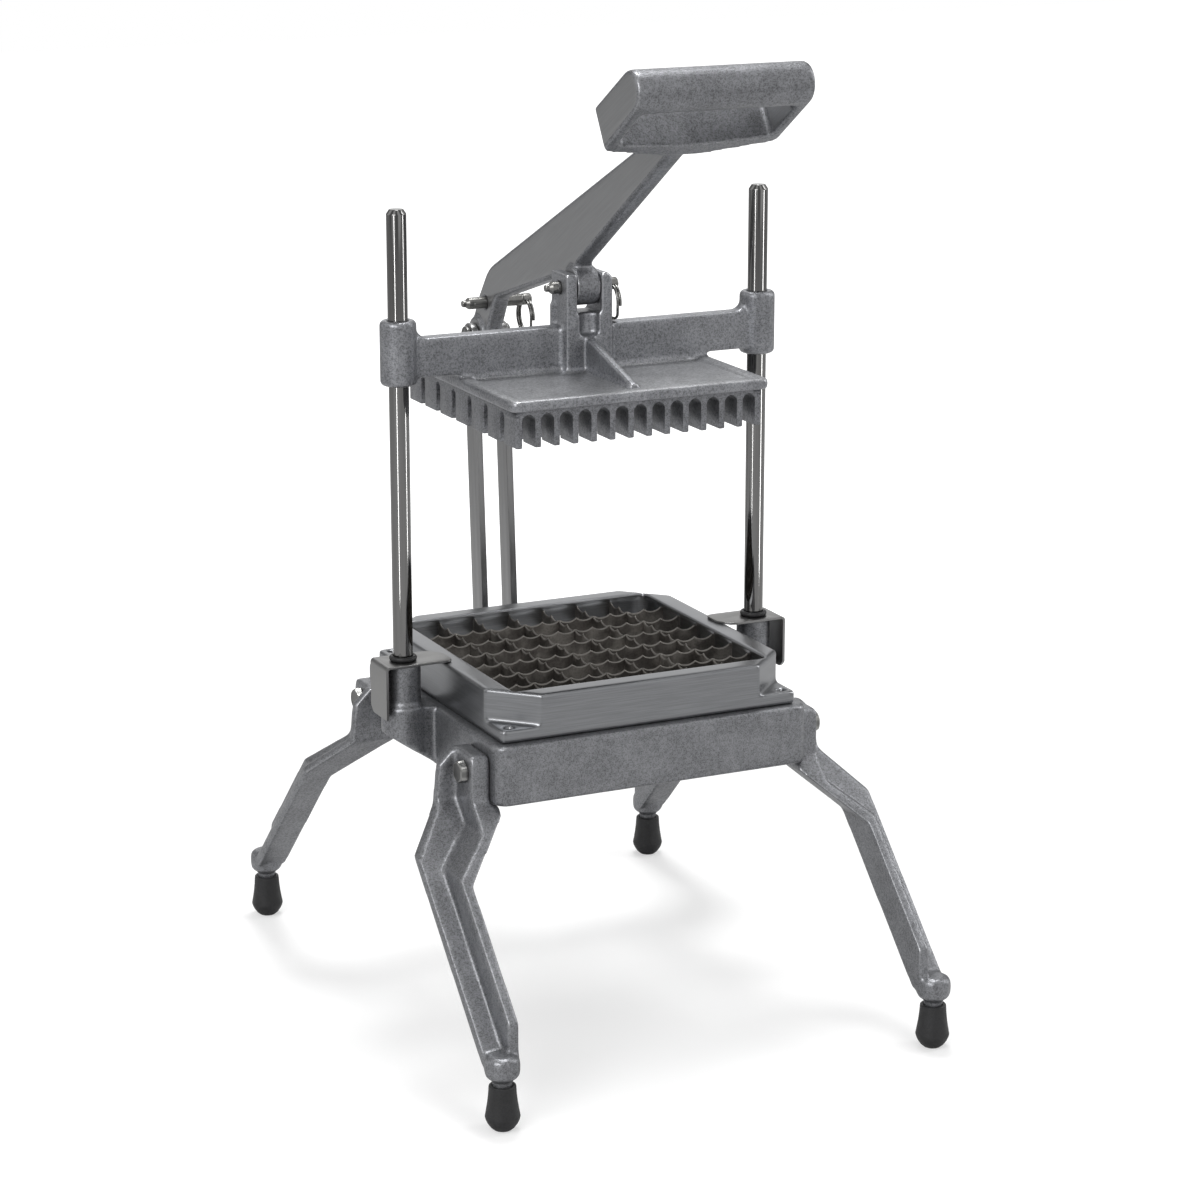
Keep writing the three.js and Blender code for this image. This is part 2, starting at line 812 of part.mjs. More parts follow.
function makeFingers() {
  const halfX = fingerReachX;
  const halfY = fingerReachY;
  const slotHalfX = (gridPitch - fingerWidth) / 2;
  const slotHalfY = (2 * gridPitch - fingerDepth) / 2;
  const body = block([-halfX, halfX], [-halfY, halfY], [fingerBottom, plateBottom + plateEdge]);
  const alongY = gridLines.map((line) => prismY(
    slotOutline(line * gridPitch, slotHalfX, slotCrown),
    [-halfY - overrun, halfY + overrun],
  ));
  const alongX = oddLines.map((line) => prismX(
    slotOutline(line * gridPitch, slotHalfY, slotCrown - crossSlotDrop),
    [-halfX - overrun, halfX + overrun],
  ));
  return cut(body, ...alongY, ...alongX);
}

function makePlate() {
  const slab = prismZ(rectangle(plateHalfX, plateHalfY, plateCorner), [plateBottom, plateTop], plateEdge);
  const field = rectangle(plateHalfX - plateRim, plateHalfY - plateRim, plateEdge);
  return slab.subtract(prismZ(field, [plateTop - plateSink, plateTop + overrun]));
}

function makeCrossbar() {
  const bar = prismX(outline([
    [-barHalf, barBottom],
    [barHalf, barBottom],
    [barHalf, barTop, barEdge],
    [-barHalf, barTop, barEdge],
  ]), [-rodReach, rodReach]);
  const web = block([-plateHalfX + plateEdge, plateHalfX - plateEdge], [-barHalf, barHalf], [
    plateTop - plateSink - fit,
    barBottom + fit,
  ]);
  const parts = [bar, web];
  for (const side of [-1, 1]) {
    parts.push(turned([
      [0, sleeveBottom],
      [sleeveRadius - sleeveEdge, sleeveBottom],
      [sleeveRadius, sleeveBottom + sleeveEdge],
      [sleeveRadius, sleeveTop - sleeveEdge],
      [sleeveRadius - sleeveEdge, sleeveTop],
      [0, sleeveTop],
    ], [side * rodReach, 0]));
  }
  const root = rodReach - sleeveRadius;
  const gusset = prismY(outline([
    [root + overrun, barTop - overrun],
    [root + overrun, barTop + sleeveWebRise],
    [root, barTop + sleeveWebRise],
    [root - sleeveWebRise, barTop],
    [root - sleeveWebRise, barTop - overrun],
  ]), [-sleeveWebHalf, sleeveWebHalf]);
  return joined(...parts, gusset, mirroredX(gusset));
}

// Two ears on a solid pedestal, with columns behind them and fillets in front of the crossbar.
function makeClevis() {
  const foot = plateTop - plateSink - fit;
  const depth = [-clevisFront, clevisBack];
  const pedestal = block([-clevisHalf, clevisHalf], depth, [foot, clevisTop]);
  const through = [-clevisFront - overrun, clevisBack + overrun];
  const slot = block([-hubEar, hubEar], through, [saddleTop, clevisTop + overrun]);
  const trough = cylinderZ(troughRadius, [0, -clevisFront], [troughFloor, clevisTop + overrun]);
  const bevel = prismY(outline([
    [clevisHalf + overrun, clevisTop - clevisChamfer - overrun],
    [clevisHalf + overrun, clevisTop + overrun],
    [clevisHalf - clevisChamfer - overrun, clevisTop + overrun],
  ]), through);
  const reach = clevisHalf + overrun;
  const hole = cylinderX(lockRadius + fit, [-reach, reach], [0, pivotHeight]);
  const column = turned([
    [0, foot],
    [columnRadius, foot],
    [columnRadius, columnTop - columnShoulder],
    [columnRadius - columnShoulder, columnTop],
    [0, columnTop],
  ], [clevisHalf - columnInset, columnBack], smallSides);
  const fillet = new THREE.Shape();
  fillet.moveTo(clevisHalf - overrun, -barHalf + overrun);
  fillet.lineTo(clevisHalf - overrun, -barHalf - cornerFillet);
  fillet.lineTo(clevisHalf, -barHalf - cornerFillet);
  fillet.absarc(clevisHalf + cornerFillet, -barHalf - cornerFillet, cornerFillet, Math.PI, Math.PI / 2, true);
  fillet.lineTo(clevisHalf + cornerFillet, -barHalf + overrun);
  const corner = prismZ(fillet, [foot, barTop - barEdge]);
  const rib = prismX(outline([
    [-clevisFront + overrun, foot],
    [-clevisFront + overrun, ribTop],
    [-clevisFront, ribTop],
    [-ribReach, ribFoot],
    [-ribReach, foot],
  ]), [-ribHalf, ribHalf]);
  const ears = cut(pedestal, slot, trough, bevel);
  return joined(ears, column, mirroredX(column), corner, mirroredX(corner), rib).subtract(hole);
}

// Handle casting: grip, arm, hub and the back leg with its link eye. Its origin is the clevis pin.
function makeHandle() {
  const arm = prismX(outline([
    [-armTopForward, armTopRise],
    [-armBottomForward, armBottomRise],
    [armFrontBack, armFrontRise, throatRound],
    [0, 0],
    [undersideNear, undersideNearRise, throatRound],
    [undersideFar, -undersideFarDrop, throatRound],
    [linkPinBack - linkEyeRadius, -linkPinDrop],
    [linkPinBack + linkEyeRadius, -linkPinDrop],
    [linkPinBack + linkEyeRadius, -linkPinDrop + linkEyeRadius / 2, throatRound],
    [legBackOut, -legBackDrop, throatRound],
    [shoulderBack, -shoulderDrop, shoulderRound],
  ]), [-armHalf, armHalf], armEdge);
  const hub = cylinderX(hubRadius, [-hubHalfWidth, hubHalfWidth], [0, 0]);
  const eye = cylinderX(linkEyeRadius, [-linkEyeHalf, linkEyeHalf], [linkPinBack, -linkPinDrop]);
  const through = [-linkEyeHalf - overrun, linkEyeHalf + overrun];
  const holes = [
    cylinderX(lockRadius + fit, through, [0, 0]),
    cylinderX(lockRadius + fit, through, [stopPinBack, -stopPinDrop]),
    cylinderX(linkScrewRadius + fit, through, [linkPinBack, -linkPinDrop], smallSides),
  ];
  return cut(joined(arm, hub, eye, makeGrip()), ...holes);
}

// The grip: round bar in front, thin end walls and a tall web behind, drawn flat and then leaned.
function makeGrip() {
  const ends = gripBack - gripBulge;
  const windowEnds = gripWindowBack - gripWindowBulge;
  const plan = outline([
    [-gripHalf, -gripBarRadius],
    [gripHalf, -gripBarRadius],
    [gripHalf, ends, gripCorner],
    [gripBulgeFlat, gripBack],
    [-gripBulgeFlat, gripBack],
    [-gripHalf, ends, gripCorner],
  ]);
  const side = outline([
    [gripBack, -gripBelow],
    [gripBack, gripAbove],
    ...arcPoints(gripBarRadius, Math.PI / 2, (3 * Math.PI) / 2, 3 * arcSteps),
  ]);
  const windowShape = outline([
    [-gripWindowHalf, -gripBarRadius - overrun],
    [gripWindowHalf, -gripBarRadius - overrun],
    [gripWindowHalf, windowEnds, windowCorner],
    [0, gripWindowBack],
    [-gripWindowHalf, windowEnds, windowCorner],
  ]);
  const tall = [-gripBelow - overrun, gripBarRadius + overrun];
  const window = prismZ(windowShape, [tall[0] - overrun, tall[1] + overrun]);
  const dip = block([-gripWindowHalf, gripWindowHalf], [0, gripBack + overrun], [gripWebTop, tall[1]]);
  const loop = cut(
    prismZ(plan, tall).intersect(prismX(side, [-gripHalf, gripHalf], gripEdge)),
    window,
    dip,
  );
  const bar = cylinderX(gripBarRadius, [-gripWindowHalf - overrun, gripWindowHalf + overrun], [0, 0]);
  const degrees = THREE.MathUtils.radToDeg(gripLean);
  return loop.add(bar).rotate([-degrees, 0, 0]).translate([0, -gripForward, gripRise]);
}

// Link bars stand between the bracket on the base and the handle's back leg.
function makeLinkBar() {
  const top = [linkPinBack, pivotHeight - linkPinDrop];
  const foot = [linkFootBack, linkFootHeight];
  const length = Math.hypot(top[0] - foot[0], top[1] - foot[1]);
  const shape = outline([
    [-linkRadius, -linkRadius, linkRadius - fit],
    [linkRadius, -linkRadius, linkRadius - fit],
    [linkRadius, length + linkRadius, linkRadius - fit],
    [-linkRadius, length + linkRadius, linkRadius - fit],
  ], 2 * arcSteps);
  const through = [linkInner - overrun, linkOuter + overrun];
  const bar = cut(
    prismX(shape, [linkInner, linkOuter]),
    cylinderX(linkScrewRadius + fit, through, [0, 0], smallSides),
    cylinderX(linkScrewRadius + fit, through, [0, length], smallSides),
  );
  const lean = Math.atan2(top[0] - foot[0], top[1] - foot[1]);
  return bar.rotate([-THREE.MathUtils.radToDeg(lean), 0, 0]).translate([0, ...foot]);
}

// A short shoulder screw through the top of the right bar. It stops short of the handle's leg.
function makeLinkScrew() {
  const place = [linkPinBack, pivotHeight - linkPinDrop];
  return joined(
    cylinderX(linkScrewHeadRadius, [linkOuter, linkOuter + linkScrewHead], place),
    cylinderX(linkScrewRadius, [linkInner, linkOuter + linkScrewHead / 2], place, smallSides),
  );
}

// The bolt through both bars and the bracket, with its head on the left and a nut on the right.
function makeLinkBolt() {
  const place = [linkFootBack, linkFootHeight];
  const outside = linkOuter + fit;
  return joined(
    cylinderX(linkScrewHeadRadius, [-outside - linkBoltHead, -outside], place),
    cylinderX(linkScrewRadius, [-outside - linkBoltHead / 2, outside + linkBoltHead / 2], place, smallSides),
    cylinderX(linkScrewHeadRadius, [outside, outside + linkBoltHead], place, 6),
  );
}

// A ball-lock pin along X: tapered nose with two balls on the left, cross hole on the right.
function makeLockPin(x, y, z) {
  const points = [
    [0, -lockLeft],
    [lockTipRadius, -lockLeft],
    [lockRadius, lockTaper - lockLeft],
    [lockRadius, lockRight],
    [0, lockRight],
  ].map(([radius, along]) => new THREE.Vector2(radius, along));
  const shank = new THREE.LatheGeometry(points, wideSides);
  shank.rotateZ(-Math.PI / 2);
  shank.translate(x, y, z);
  const balls = [-1, 1].map((side) => {
    const ball = new THREE.SphereGeometry(lockBallRadius, smallSides / 2, smallSides / 2);
    const reach = lockRadius + lockBallRise - lockBallRadius;
    ball.translate(x + lockBallInset - lockLeft, y + side * reach, z);
    return solidOf(ball);
  });
  const across = [y - lockRadius - overrun, y + lockRadius + overrun];
  const hole = cylinderY(lockHoleRadius, across, [x + lockRight - lockHoleInset, z]);
  return joined(solidOf(shank), ...balls).subtract(hole);
}

// A split ring of two wire turns side by side, hanging from a pin's cross hole. The wire steps
// across from one turn to the other in the gap between its ends.
class SplitRingCurve extends THREE.Curve {
  constructor(centre) {
    super();
    this.centre = centre;
  }

  getPoint(share, target = new THREE.Vector3()) {
    const angle = splitStart + splitTurns * 2 * Math.PI * share;
    const shift = splitPitch * (THREE.MathUtils.smoothstep(splitTurns * share, splitTurns - 1, 1) - 1 / 2);
    return target.set(shift, splitRadius * Math.cos(angle), splitRadius * Math.sin(angle)).add(this.centre);
  }
}

function makeSplitRing(x, y, z) {
  const centre = new THREE.Vector3(x + lockRight - lockHoleInset, y, z - splitRadius);
  const section = new THREE.Shape(Array.from({ length: splitSides }, (_, index) => {
    const angle = (index * 2 * Math.PI) / splitSides;
    return new THREE.Vector2(splitWire * Math.cos(angle), splitWire * Math.sin(angle));
  }));
  return solidOf(new THREE.ExtrudeGeometry(section, {
    steps: splitSteps,
    extrudePath: new SplitRingCurve(centre),
    bevelEnabled: false,
  }));
}

// The whole cutter, piece by piece.
const cutter = new THREE.Group();
cutter.name = 'lettuce_cutter';
const add = (name, solid, material) => cutter.add(piece(name, solid, material));

add('base_casting', makeBase(), castAluminium);

const quarters = [
  ['front_left', -1, -1],
  ['front_right', 1, -1],
  ['back_left', -1, 1],
  ['back_right', 1, 1],
];
for (const [place, side, end] of quarters) {
  const put = (solid) => {
    const across = side < 0 ? mirroredX(solid) : solid;
    return end < 0 ? across.mirror([0, 1, 0]) : across;
  };
  add(`leg_${place}`, put(makeLeg()), castAluminium);
  add(`leg_bolt_${place}`, put(makeLegBolt()), satinSteel);
  add(`foot_${place}`, put(makeFoot()), blackRubber);
}

for (const [place, side] of [['left', -1], ['right', 1]]) {
  const clip = side < 0 ? makeClip().rotate([0, 0, 180]) : makeClip();
  const turnedOver = (solid) => (side < 0 ? mirroredX(solid) : solid);
  add(`guide_rod_${place}`, makeRod(side), polishedSteel);
  add(`o_ring_${place}`, makeORing(side), blackRubber);
  add(`hold_down_clip_${place}`, clip, satinSteel);
  add(`link_bar_${place}`, turnedOver(makeLinkBar()), satinSteel);
  add(`link_screw_${place}`, turnedOver(makeLinkScrew()), satinSteel);
}
add('link_bolt', makeLinkBolt(), satinSteel);

add('blade_frame', makeFrame(), brushedAluminium);
oddLines.forEach((line, index) => add(`row_blade_${index + 1}`, makeRowBlade(line), bladeSteel));
oddLines.forEach((line, index) => add(`column_blade_${index + 1}`, makeColumnBlade(line), bladeSteel));
evenLines.forEach((line, index) => add(`low_blade_${index + 1}`, makeLowBlade(line), bladeSteel));

add('pusher_casting', makePusher(), castAluminium);
add('handle_casting', makeHandle().translate([0, 0, pivotHeight]), brushedAluminium);
add('clevis_pin', makeLockPin(0, 0, pivotHeight), polishedSteel);
add('clevis_ring', makeSplitRing(0, 0, pivotHeight), polishedSteel);
const stopPinHeight = pivotHeight - stopPinDrop;
add('stop_pin', makeLockPin(stopPinRight, stopPinBack, stopPinHeight), polishedSteel);
add('stop_ring', makeSplitRing(stopPinRight, stopPinBack, stopPinHeight), polishedSteel);

export default cutter;
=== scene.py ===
"""Looks of a hand lettuce cutter.

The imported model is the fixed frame. Castings are rounded copies of their solids, machined and turned
pieces are built anew from their sizes, and every piece rides on its own body. Sizes of the pieces are
in millimetres. The camera, the lamps and the floor are in metres.
"""

import json
import logging
import math
from dataclasses import dataclass, field
from enum import Enum
from typing import Callable, Sequence

import bmesh
import bpy
from mathutils import Matrix, Vector

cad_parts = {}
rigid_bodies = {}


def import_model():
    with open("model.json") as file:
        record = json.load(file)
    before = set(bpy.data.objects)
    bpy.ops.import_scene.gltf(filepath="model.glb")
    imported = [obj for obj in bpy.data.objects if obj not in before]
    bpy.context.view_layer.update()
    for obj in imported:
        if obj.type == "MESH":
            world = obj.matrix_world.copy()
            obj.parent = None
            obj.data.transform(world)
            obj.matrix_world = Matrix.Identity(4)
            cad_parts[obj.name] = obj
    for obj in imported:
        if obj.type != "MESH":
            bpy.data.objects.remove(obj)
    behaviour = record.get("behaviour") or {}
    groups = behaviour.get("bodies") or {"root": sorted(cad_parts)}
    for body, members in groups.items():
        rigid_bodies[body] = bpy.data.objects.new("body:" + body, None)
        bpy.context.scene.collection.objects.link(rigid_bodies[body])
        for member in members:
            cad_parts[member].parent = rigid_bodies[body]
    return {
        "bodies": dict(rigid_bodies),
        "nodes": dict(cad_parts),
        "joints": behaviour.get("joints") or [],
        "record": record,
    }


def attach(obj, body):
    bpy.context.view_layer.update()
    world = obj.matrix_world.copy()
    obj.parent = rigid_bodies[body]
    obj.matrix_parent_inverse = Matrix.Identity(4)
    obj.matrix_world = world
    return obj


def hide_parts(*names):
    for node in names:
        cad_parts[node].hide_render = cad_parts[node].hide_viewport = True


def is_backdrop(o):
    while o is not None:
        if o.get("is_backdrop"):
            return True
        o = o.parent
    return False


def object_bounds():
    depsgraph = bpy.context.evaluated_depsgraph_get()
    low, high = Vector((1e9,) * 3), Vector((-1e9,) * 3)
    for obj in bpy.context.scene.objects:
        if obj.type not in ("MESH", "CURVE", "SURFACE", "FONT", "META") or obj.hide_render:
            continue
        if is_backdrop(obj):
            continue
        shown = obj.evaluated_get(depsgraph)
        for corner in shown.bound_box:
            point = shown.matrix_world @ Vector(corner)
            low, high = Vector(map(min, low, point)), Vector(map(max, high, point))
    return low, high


LOG = logging.getLogger("lettuce_cutter")

MM = 0.001
MERGE_DISTANCE = 1e-7
SOLID_MERGE_DISTANCE = 2e-6
CORE = 0.3
CIRCLE_STEPS = 32
WIRE_SIDES = 10
FLOAT = "NodeSocketFloat"
VECTOR = "NodeSocketVector"
GEOMETRY = "NodeSocketGeometry"

Pair = tuple[float, float]
Triple = tuple[float, float, float]
Colour = tuple[float, float, float]
Outline = list[Pair]
Mesh = bpy.types.Mesh
Socket = bpy.types.NodeSocket


class Axis(Enum):
    """Direction along which a turned piece lies."""

    X = "x"
    Y = "y"
    Z = "z"


class Notch(Enum):
    """Side on which a blade is notched for the blades that cross it."""

    BELOW = "below"
    ABOVE = "above"


# Node trees


def rgba(colour: object) -> object:
    """Add full alpha to a colour, and leave an output socket as it is."""
    return (*colour, 1.0) if isinstance(colour, tuple) else colour


class Tree:
    """A node tree that is built by naming each node's type, settings and inputs."""

    def __init__(self, tree: bpy.types.NodeTree) -> None:
        """Keep the tree to build in."""
        self.tree = tree

    def add(self, kind: str, inputs: dict | None = None, **settings: object) -> bpy.types.Node:
        """Add one node.

        Args:
            kind: Blender's name for the node's type.
            inputs: Values or output sockets, by input name or index.
            settings: Properties of the node.

        Returns:
            The new node.
        """
        node = self.tree.nodes.new(kind)
        for key, value in settings.items():
            setattr(node, key, value)
        for key, value in (inputs or {}).items():
            socket = node.inputs[key]
            if isinstance(value, bpy.types.NodeSocket):
                self.tree.links.new(value, socket)
            else:
                socket.default_value = value
        return node

    def use(self, group: bpy.types.NodeTree, inputs: dict) -> bpy.types.bpy_prop_collection:
        """Place a shared group with its own values and return its outputs."""
        return self.add("ShaderNodeGroup", inputs, node_tree=group).outputs

    def link(self, value: Socket, node: bpy.types.Node, name: str) -> None:
        """Link an output to a node's named input."""
        self.tree.links.new(value, node.inputs[name])

    def object_place(self) -> Socket:
        """Return a point's place on the piece."""
        return self.add("ShaderNodeTexCoord").outputs["Object"]

    def math(self, operation: str, first: object, second: object = 0.0, clamp: bool = False) -> Socket:
        """Add a math node and return its result."""
        node = self.add("ShaderNodeMath", {0: first, 1: second}, operation=operation, use_clamp=clamp)
        return node.outputs[0]

    def noise(self, place: Socket, scale: object, detail: float) -> Socket:
        """Add a noise texture and return its value."""
        node = self.add("ShaderNodeTexNoise", {"Vector": place, "Scale": scale, "Detail": detail})
        return node.outputs[0]

    def ramp(self, value: object, low: float, high: float, start: float = 0.0, end: float = 1.0) -> Socket:
        """Map a value smoothly from one range to another.

        Args:
            value: The value to map.
            low: Value at and below which the result is start.
            high: Value at and beyond which the result is end.
            start: First end of the result.
            end: Last end of the result.

        Returns:
            The mapped value.
        """
        inputs = {"Value": value, "From Min": low, "From Max": high, "To Min": start, "To Max": end}
        return self.add("ShaderNodeMapRange", inputs, interpolation_type="SMOOTHSTEP").outputs[0]

    def mix(self, share: object, first: object, second: object) -> Socket:
        """Mix two colours by a share and return the result."""
        inputs = {0: share, 6: rgba(first), 7: rgba(second)}
        return self.add("ShaderNodeMix", inputs, data_type="RGBA").outputs[2]

    def shaded(self, colour: object, shade: Socket) -> Socket:
        """Multiply a colour by a shade.

        Args:
            colour: The colour, as numbers or an output.
            shade: The shade, around one.

        Returns:
            The shaded colour.
        """
        grey = self.add("ShaderNodeCombineColor", {0: shade, 1: shade, 2: shade}).outputs[0]
        inputs = {0: 1.0, 6: rgba(colour), 7: grey}
        return self.add("ShaderNodeMix", inputs, data_type="RGBA", blend_type="MULTIPLY").outputs[2]

    def bump(self, shader: bpy.types.Node, height: Socket, strength: float, distance: float) -> None:
        """Feed a bump node into a shader's normal."""
        node = self.add("ShaderNodeBump", {"Height": height, "Strength": strength, "Distance": distance})
        self.link(node.outputs[0], shader, "Normal")


def new_group(
    name: str, kind: str, inputs: dict[str, tuple[str, object]], outputs: dict[str, str]
) -> bpy.types.NodeTree:
    """Make an empty node group with named sockets.

    Args:
        name: Name of the group.
        kind: Type of the tree, for shaders or for geometry.
        inputs: Socket type and default value by input name.
        outputs: Socket type by output name.

    Returns:
        The new group.
    """
    group = bpy.data.node_groups.new(name, kind)
    for label, (socket_type, default) in inputs.items():
        socket = group.interface.new_socket(name=label, in_out="INPUT", socket_type=socket_type)
        if default is not None:
            socket.default_value = default
    for label, socket_type in outputs.items():
        group.interface.new_socket(name=label, in_out="OUTPUT", socket_type=socket_type)
    return group


def build_cast_grain() -> bpy.types.NodeTree:
    """Build the sandy grain of a casting: fine dark specks over broad cloudy patches.

    Returns:
        A group with a Shade around one and a Height for bump.
    """
    inputs = {"Grain Scale": (FLOAT, 1100.0), "Cloud Scale": (FLOAT, 60.0), "Contrast": (FLOAT, 0.5)}
    group = new_group("cast_grain", "ShaderNodeTree", inputs, {"Shade": FLOAT, "Height": FLOAT})
    tree = Tree(group)
    given = tree.add("NodeGroupInput").outputs
    place = tree.object_place()
    fine = tree.noise(place, given["Grain Scale"], 1.0)
    medium = tree.noise(place, tree.math("MULTIPLY", given["Grain Scale"], 0.45), 1.0)
    cloud = tree.noise(place, given["Cloud Scale"], 3.0)
    specks = tree.math("SUBTRACT", 0.3, tree.ramp(fine, 0.48, 0.62))
    blotches = tree.ramp(medium, 0.35, 0.65, -0.22, 0.22)
    clouds = tree.ramp(cloud, 0.35, 0.65, -0.16, 0.16)
    mixed = tree.math("ADD", tree.math("MULTIPLY", specks, 0.7), tree.math("ADD", blotches, clouds))
    shade = tree.math("ADD", 1.0, tree.math("MULTIPLY", mixed, given["Contrast"]))
    height = tree.math("ADD", fine, tree.math("MULTIPLY", medium, 1.5))
    tree.add("NodeGroupOutput", {"Shade": shade, "Height": height})
    return group


def build_brush_lines() -> bpy.types.NodeTree:
    """Build fine parallel grinding lines.

    Returns:
        A group with a Shade around one and a Height for bump. Stretch shortens the lines' width on
        each axis, so the smallest number lies along them.
    """
    inputs = {
        "Stretch": (VECTOR, (1.0, 60.0, 60.0)),
        "Turn": (VECTOR, (0.0, 0.0, 0.0)),
        "Scale": (FLOAT, 30.0),
        "Contrast": (FLOAT, 0.3),
    }
    group = new_group("brush_lines", "ShaderNodeTree", inputs, {"Shade": FLOAT, "Height": FLOAT})
    tree = Tree(group)
    given = tree.add("NodeGroupInput").outputs
    place = tree.add("ShaderNodeMapping", {"Vector": tree.object_place(), "Rotation": given["Turn"]})
    sides = {0: place.outputs[0], 1: given["Stretch"]}
    drawn = tree.add("ShaderNodeVectorMath", sides, operation="MULTIPLY").outputs[0]
    lines = tree.noise(drawn, given["Scale"], 5.0)
    swing = tree.ramp(lines, 0.3, 0.7, -0.5, 0.5)
    shade = tree.math("ADD", 1.0, tree.math("MULTIPLY", swing, given["Contrast"]))
    tree.add("NodeGroupOutput", {"Shade": shade, "Height": lines})
    return group


def build_edge_wear_and_highlight() -> bpy.types.NodeTree:
    """Build the masks of outer edges, which get real rubbed wear together with a painted highlight, and of
    smooth inner corners, which get a painted highlight.

    Returns:
        A group with a Mask of edges and a mask of inner corners, both from zero to one. The second carries a
        painted highlight in concave fillets.
    """
    masks = {"Mask": FLOAT, "Fillet Highlight": FLOAT}
    group = new_group("edge_wear_and_highlight", "ShaderNodeTree", {"Amount": (FLOAT, 1.0)}, masks)
    tree = Tree(group)
    amount = tree.add("NodeGroupInput").outputs["Amount"]
    bend = tree.add("ShaderNodeNewGeometry").outputs["Pointiness"]
    # Outer edges: a lighter colour that is partly real rubbed wear and partly a painted highlight.
    edge = tree.math("MULTIPLY", tree.ramp(bend, 0.522, 0.572), amount, clamp=True)
    # Inner corners: a painted highlight, standing in for the reflection that a concave fillet shows.
    fillet_highlight = tree.math("MULTIPLY", tree.ramp(bend, 0.478, 0.44), amount, clamp=True)
    tree.add("NodeGroupOutput", {"Mask": edge, "Fillet Highlight": fillet_highlight})
    return group


def build_side_mask() -> bpy.types.NodeTree:
    """Build the mask of flat faces that look straight along one axis of the piece.

    Returns:
        A group with one Mask from zero to one.
    """
    inputs = {"Axis": (VECTOR, (1.0, 0.0, 0.0)), "Edge": (FLOAT, 0.985), "Steepness": (FLOAT, 150.0)}
    group = new_group("side_mask", "ShaderNodeTree", inputs, {"Mask": FLOAT})
    tree = Tree(group)
    given = tree.add("NodeGroupInput").outputs
    normal = tree.add("ShaderNodeTexCoord").outputs["Normal"]
    along = tree.add("ShaderNodeVectorMath", {0: normal, 1: given["Axis"]}, operation="DOT_PRODUCT")
    over = tree.math("SUBTRACT", tree.math("ABSOLUTE", along.outputs["Value"]), given["Edge"])
    tree.add("NodeGroupOutput", {"Mask": tree.math("MULTIPLY", over, given["Steepness"], clamp=True)})
    return group


class Groups:
    """The shader groups that the finishes share."""

    def __init__(self) -> None:
        """Build each group once."""
        self.cast_grain = build_cast_grain()
        self.brush_lines = build_brush_lines()
        self.edge_wear_and_highlight = build_edge_wear_and_highlight()
        self.side_mask = build_side_mask()


# Finishes


def empty_material(name: str) -> tuple[bpy.types.Material, Tree]:
    """Make a material with no nodes.

    Args:
        name: Name of the material.

    Returns:
        The material and its tree.
    """
    material = bpy.data.materials.new(name)
    material.use_nodes = True
    material.node_tree.nodes.clear()
    return material, Tree(material.node_tree)


def new_material(name: str) -> tuple[bpy.types.Material, Tree, bpy.types.Node]:
    """Make a material with one shader.

    Args:
        name: Name of the material.

    Returns:
        The material, its tree and its shader node, already linked to the output.
    """
    material, tree = empty_material(name)
    shader = tree.add("ShaderNodeBsdfPrincipled")
    tree.add("ShaderNodeOutputMaterial", {"Surface": shader.outputs["BSDF"]})
    return material, tree, shader


@dataclass(frozen=True)
class CastFinish:
    """Sand-cast aluminium with a fine bluish speckle, and flats that may be ground smooth."""

    name: str = "cast_aluminium"
    colour: Colour = (0.232, 0.236, 0.248)
    worn_and_highlight: Colour = (0.5, 0.505, 0.52)
    wear_and_highlight: float = 1.0
    fillet_highlight_share: float = 0.45
    contrast: float = 0.5
    roughness: float = 0.42
    worn_gloss: float = 0.2
    metallic: float = 0.85
    bump: float = 0.16
    bump_depth: float = 0.0004
    ground_axis: Triple | None = None
    ground_turn: float = 0.0
    ground: Colour = (0.31, 0.313, 0.32)
    ground_stretch: Triple = (60.0, 1.0, 60.0)
    ground_scale: float = 28.0
    ground_contrast: float = 0.13
    ground_gloss: float = 0.12
    ground_smooth: float = 0.85

    def build(self, groups: Groups) -> bpy.types.Material:
        """Build the material.

        Args:
            groups: The shared shader groups.

        Returns:
            The material.
        """
        material, tree, shader = new_material(self.name)
        grain = tree.use(groups.cast_grain, {"Contrast": self.contrast})
        wear_and_highlight = tree.use(groups.edge_wear_and_highlight, {"Amount": self.wear_and_highlight})
        # Inner corners take part of the lighter colour as a painted fillet highlight.
        share = tree.math("MULTIPLY", wear_and_highlight["Fillet Highlight"], self.fillet_highlight_share)
        filled = tree.mix(share, tree.shaded(self.colour, grain["Shade"]), self.worn_and_highlight)
        # Edges take the lighter colour: partly real rubbed wear, partly a painted highlight.
        colour = tree.mix(wear_and_highlight["Mask"], filled, self.worn_and_highlight)
        rough = tree.math("SUBTRACT", self.roughness, tree.math("MULTIPLY", wear_and_highlight["Mask"], self.worn_gloss))
        height = grain["Height"]
        if self.ground_axis is not None:
            mask = tree.use(groups.side_mask, {"Axis": self.ground_axis})["Mask"]
            inputs = {
                "Stretch": self.ground_stretch,
                "Turn": (self.ground_turn, 0.0, 0.0),
                "Scale": self.ground_scale,
                "Contrast": self.ground_contrast,
            }
            lines = tree.use(groups.brush_lines, inputs)
            colour = tree.mix(mask, colour, tree.shaded(self.ground, lines["Shade"]))
            rough = tree.math("SUBTRACT", rough, tree.math("MULTIPLY", mask, self.ground_gloss))
            fade = tree.math("SUBTRACT", 1.0, tree.math("MULTIPLY", mask, self.ground_smooth))
            height = tree.math("MULTIPLY", height, fade)
        tree.link(colour, shader, "Base Color")
        tree.link(rough, shader, "Roughness")
        shader.inputs["Metallic"].default_value = self.metallic
        tree.bump(shader, height, self.bump, self.bump_depth)
        return material


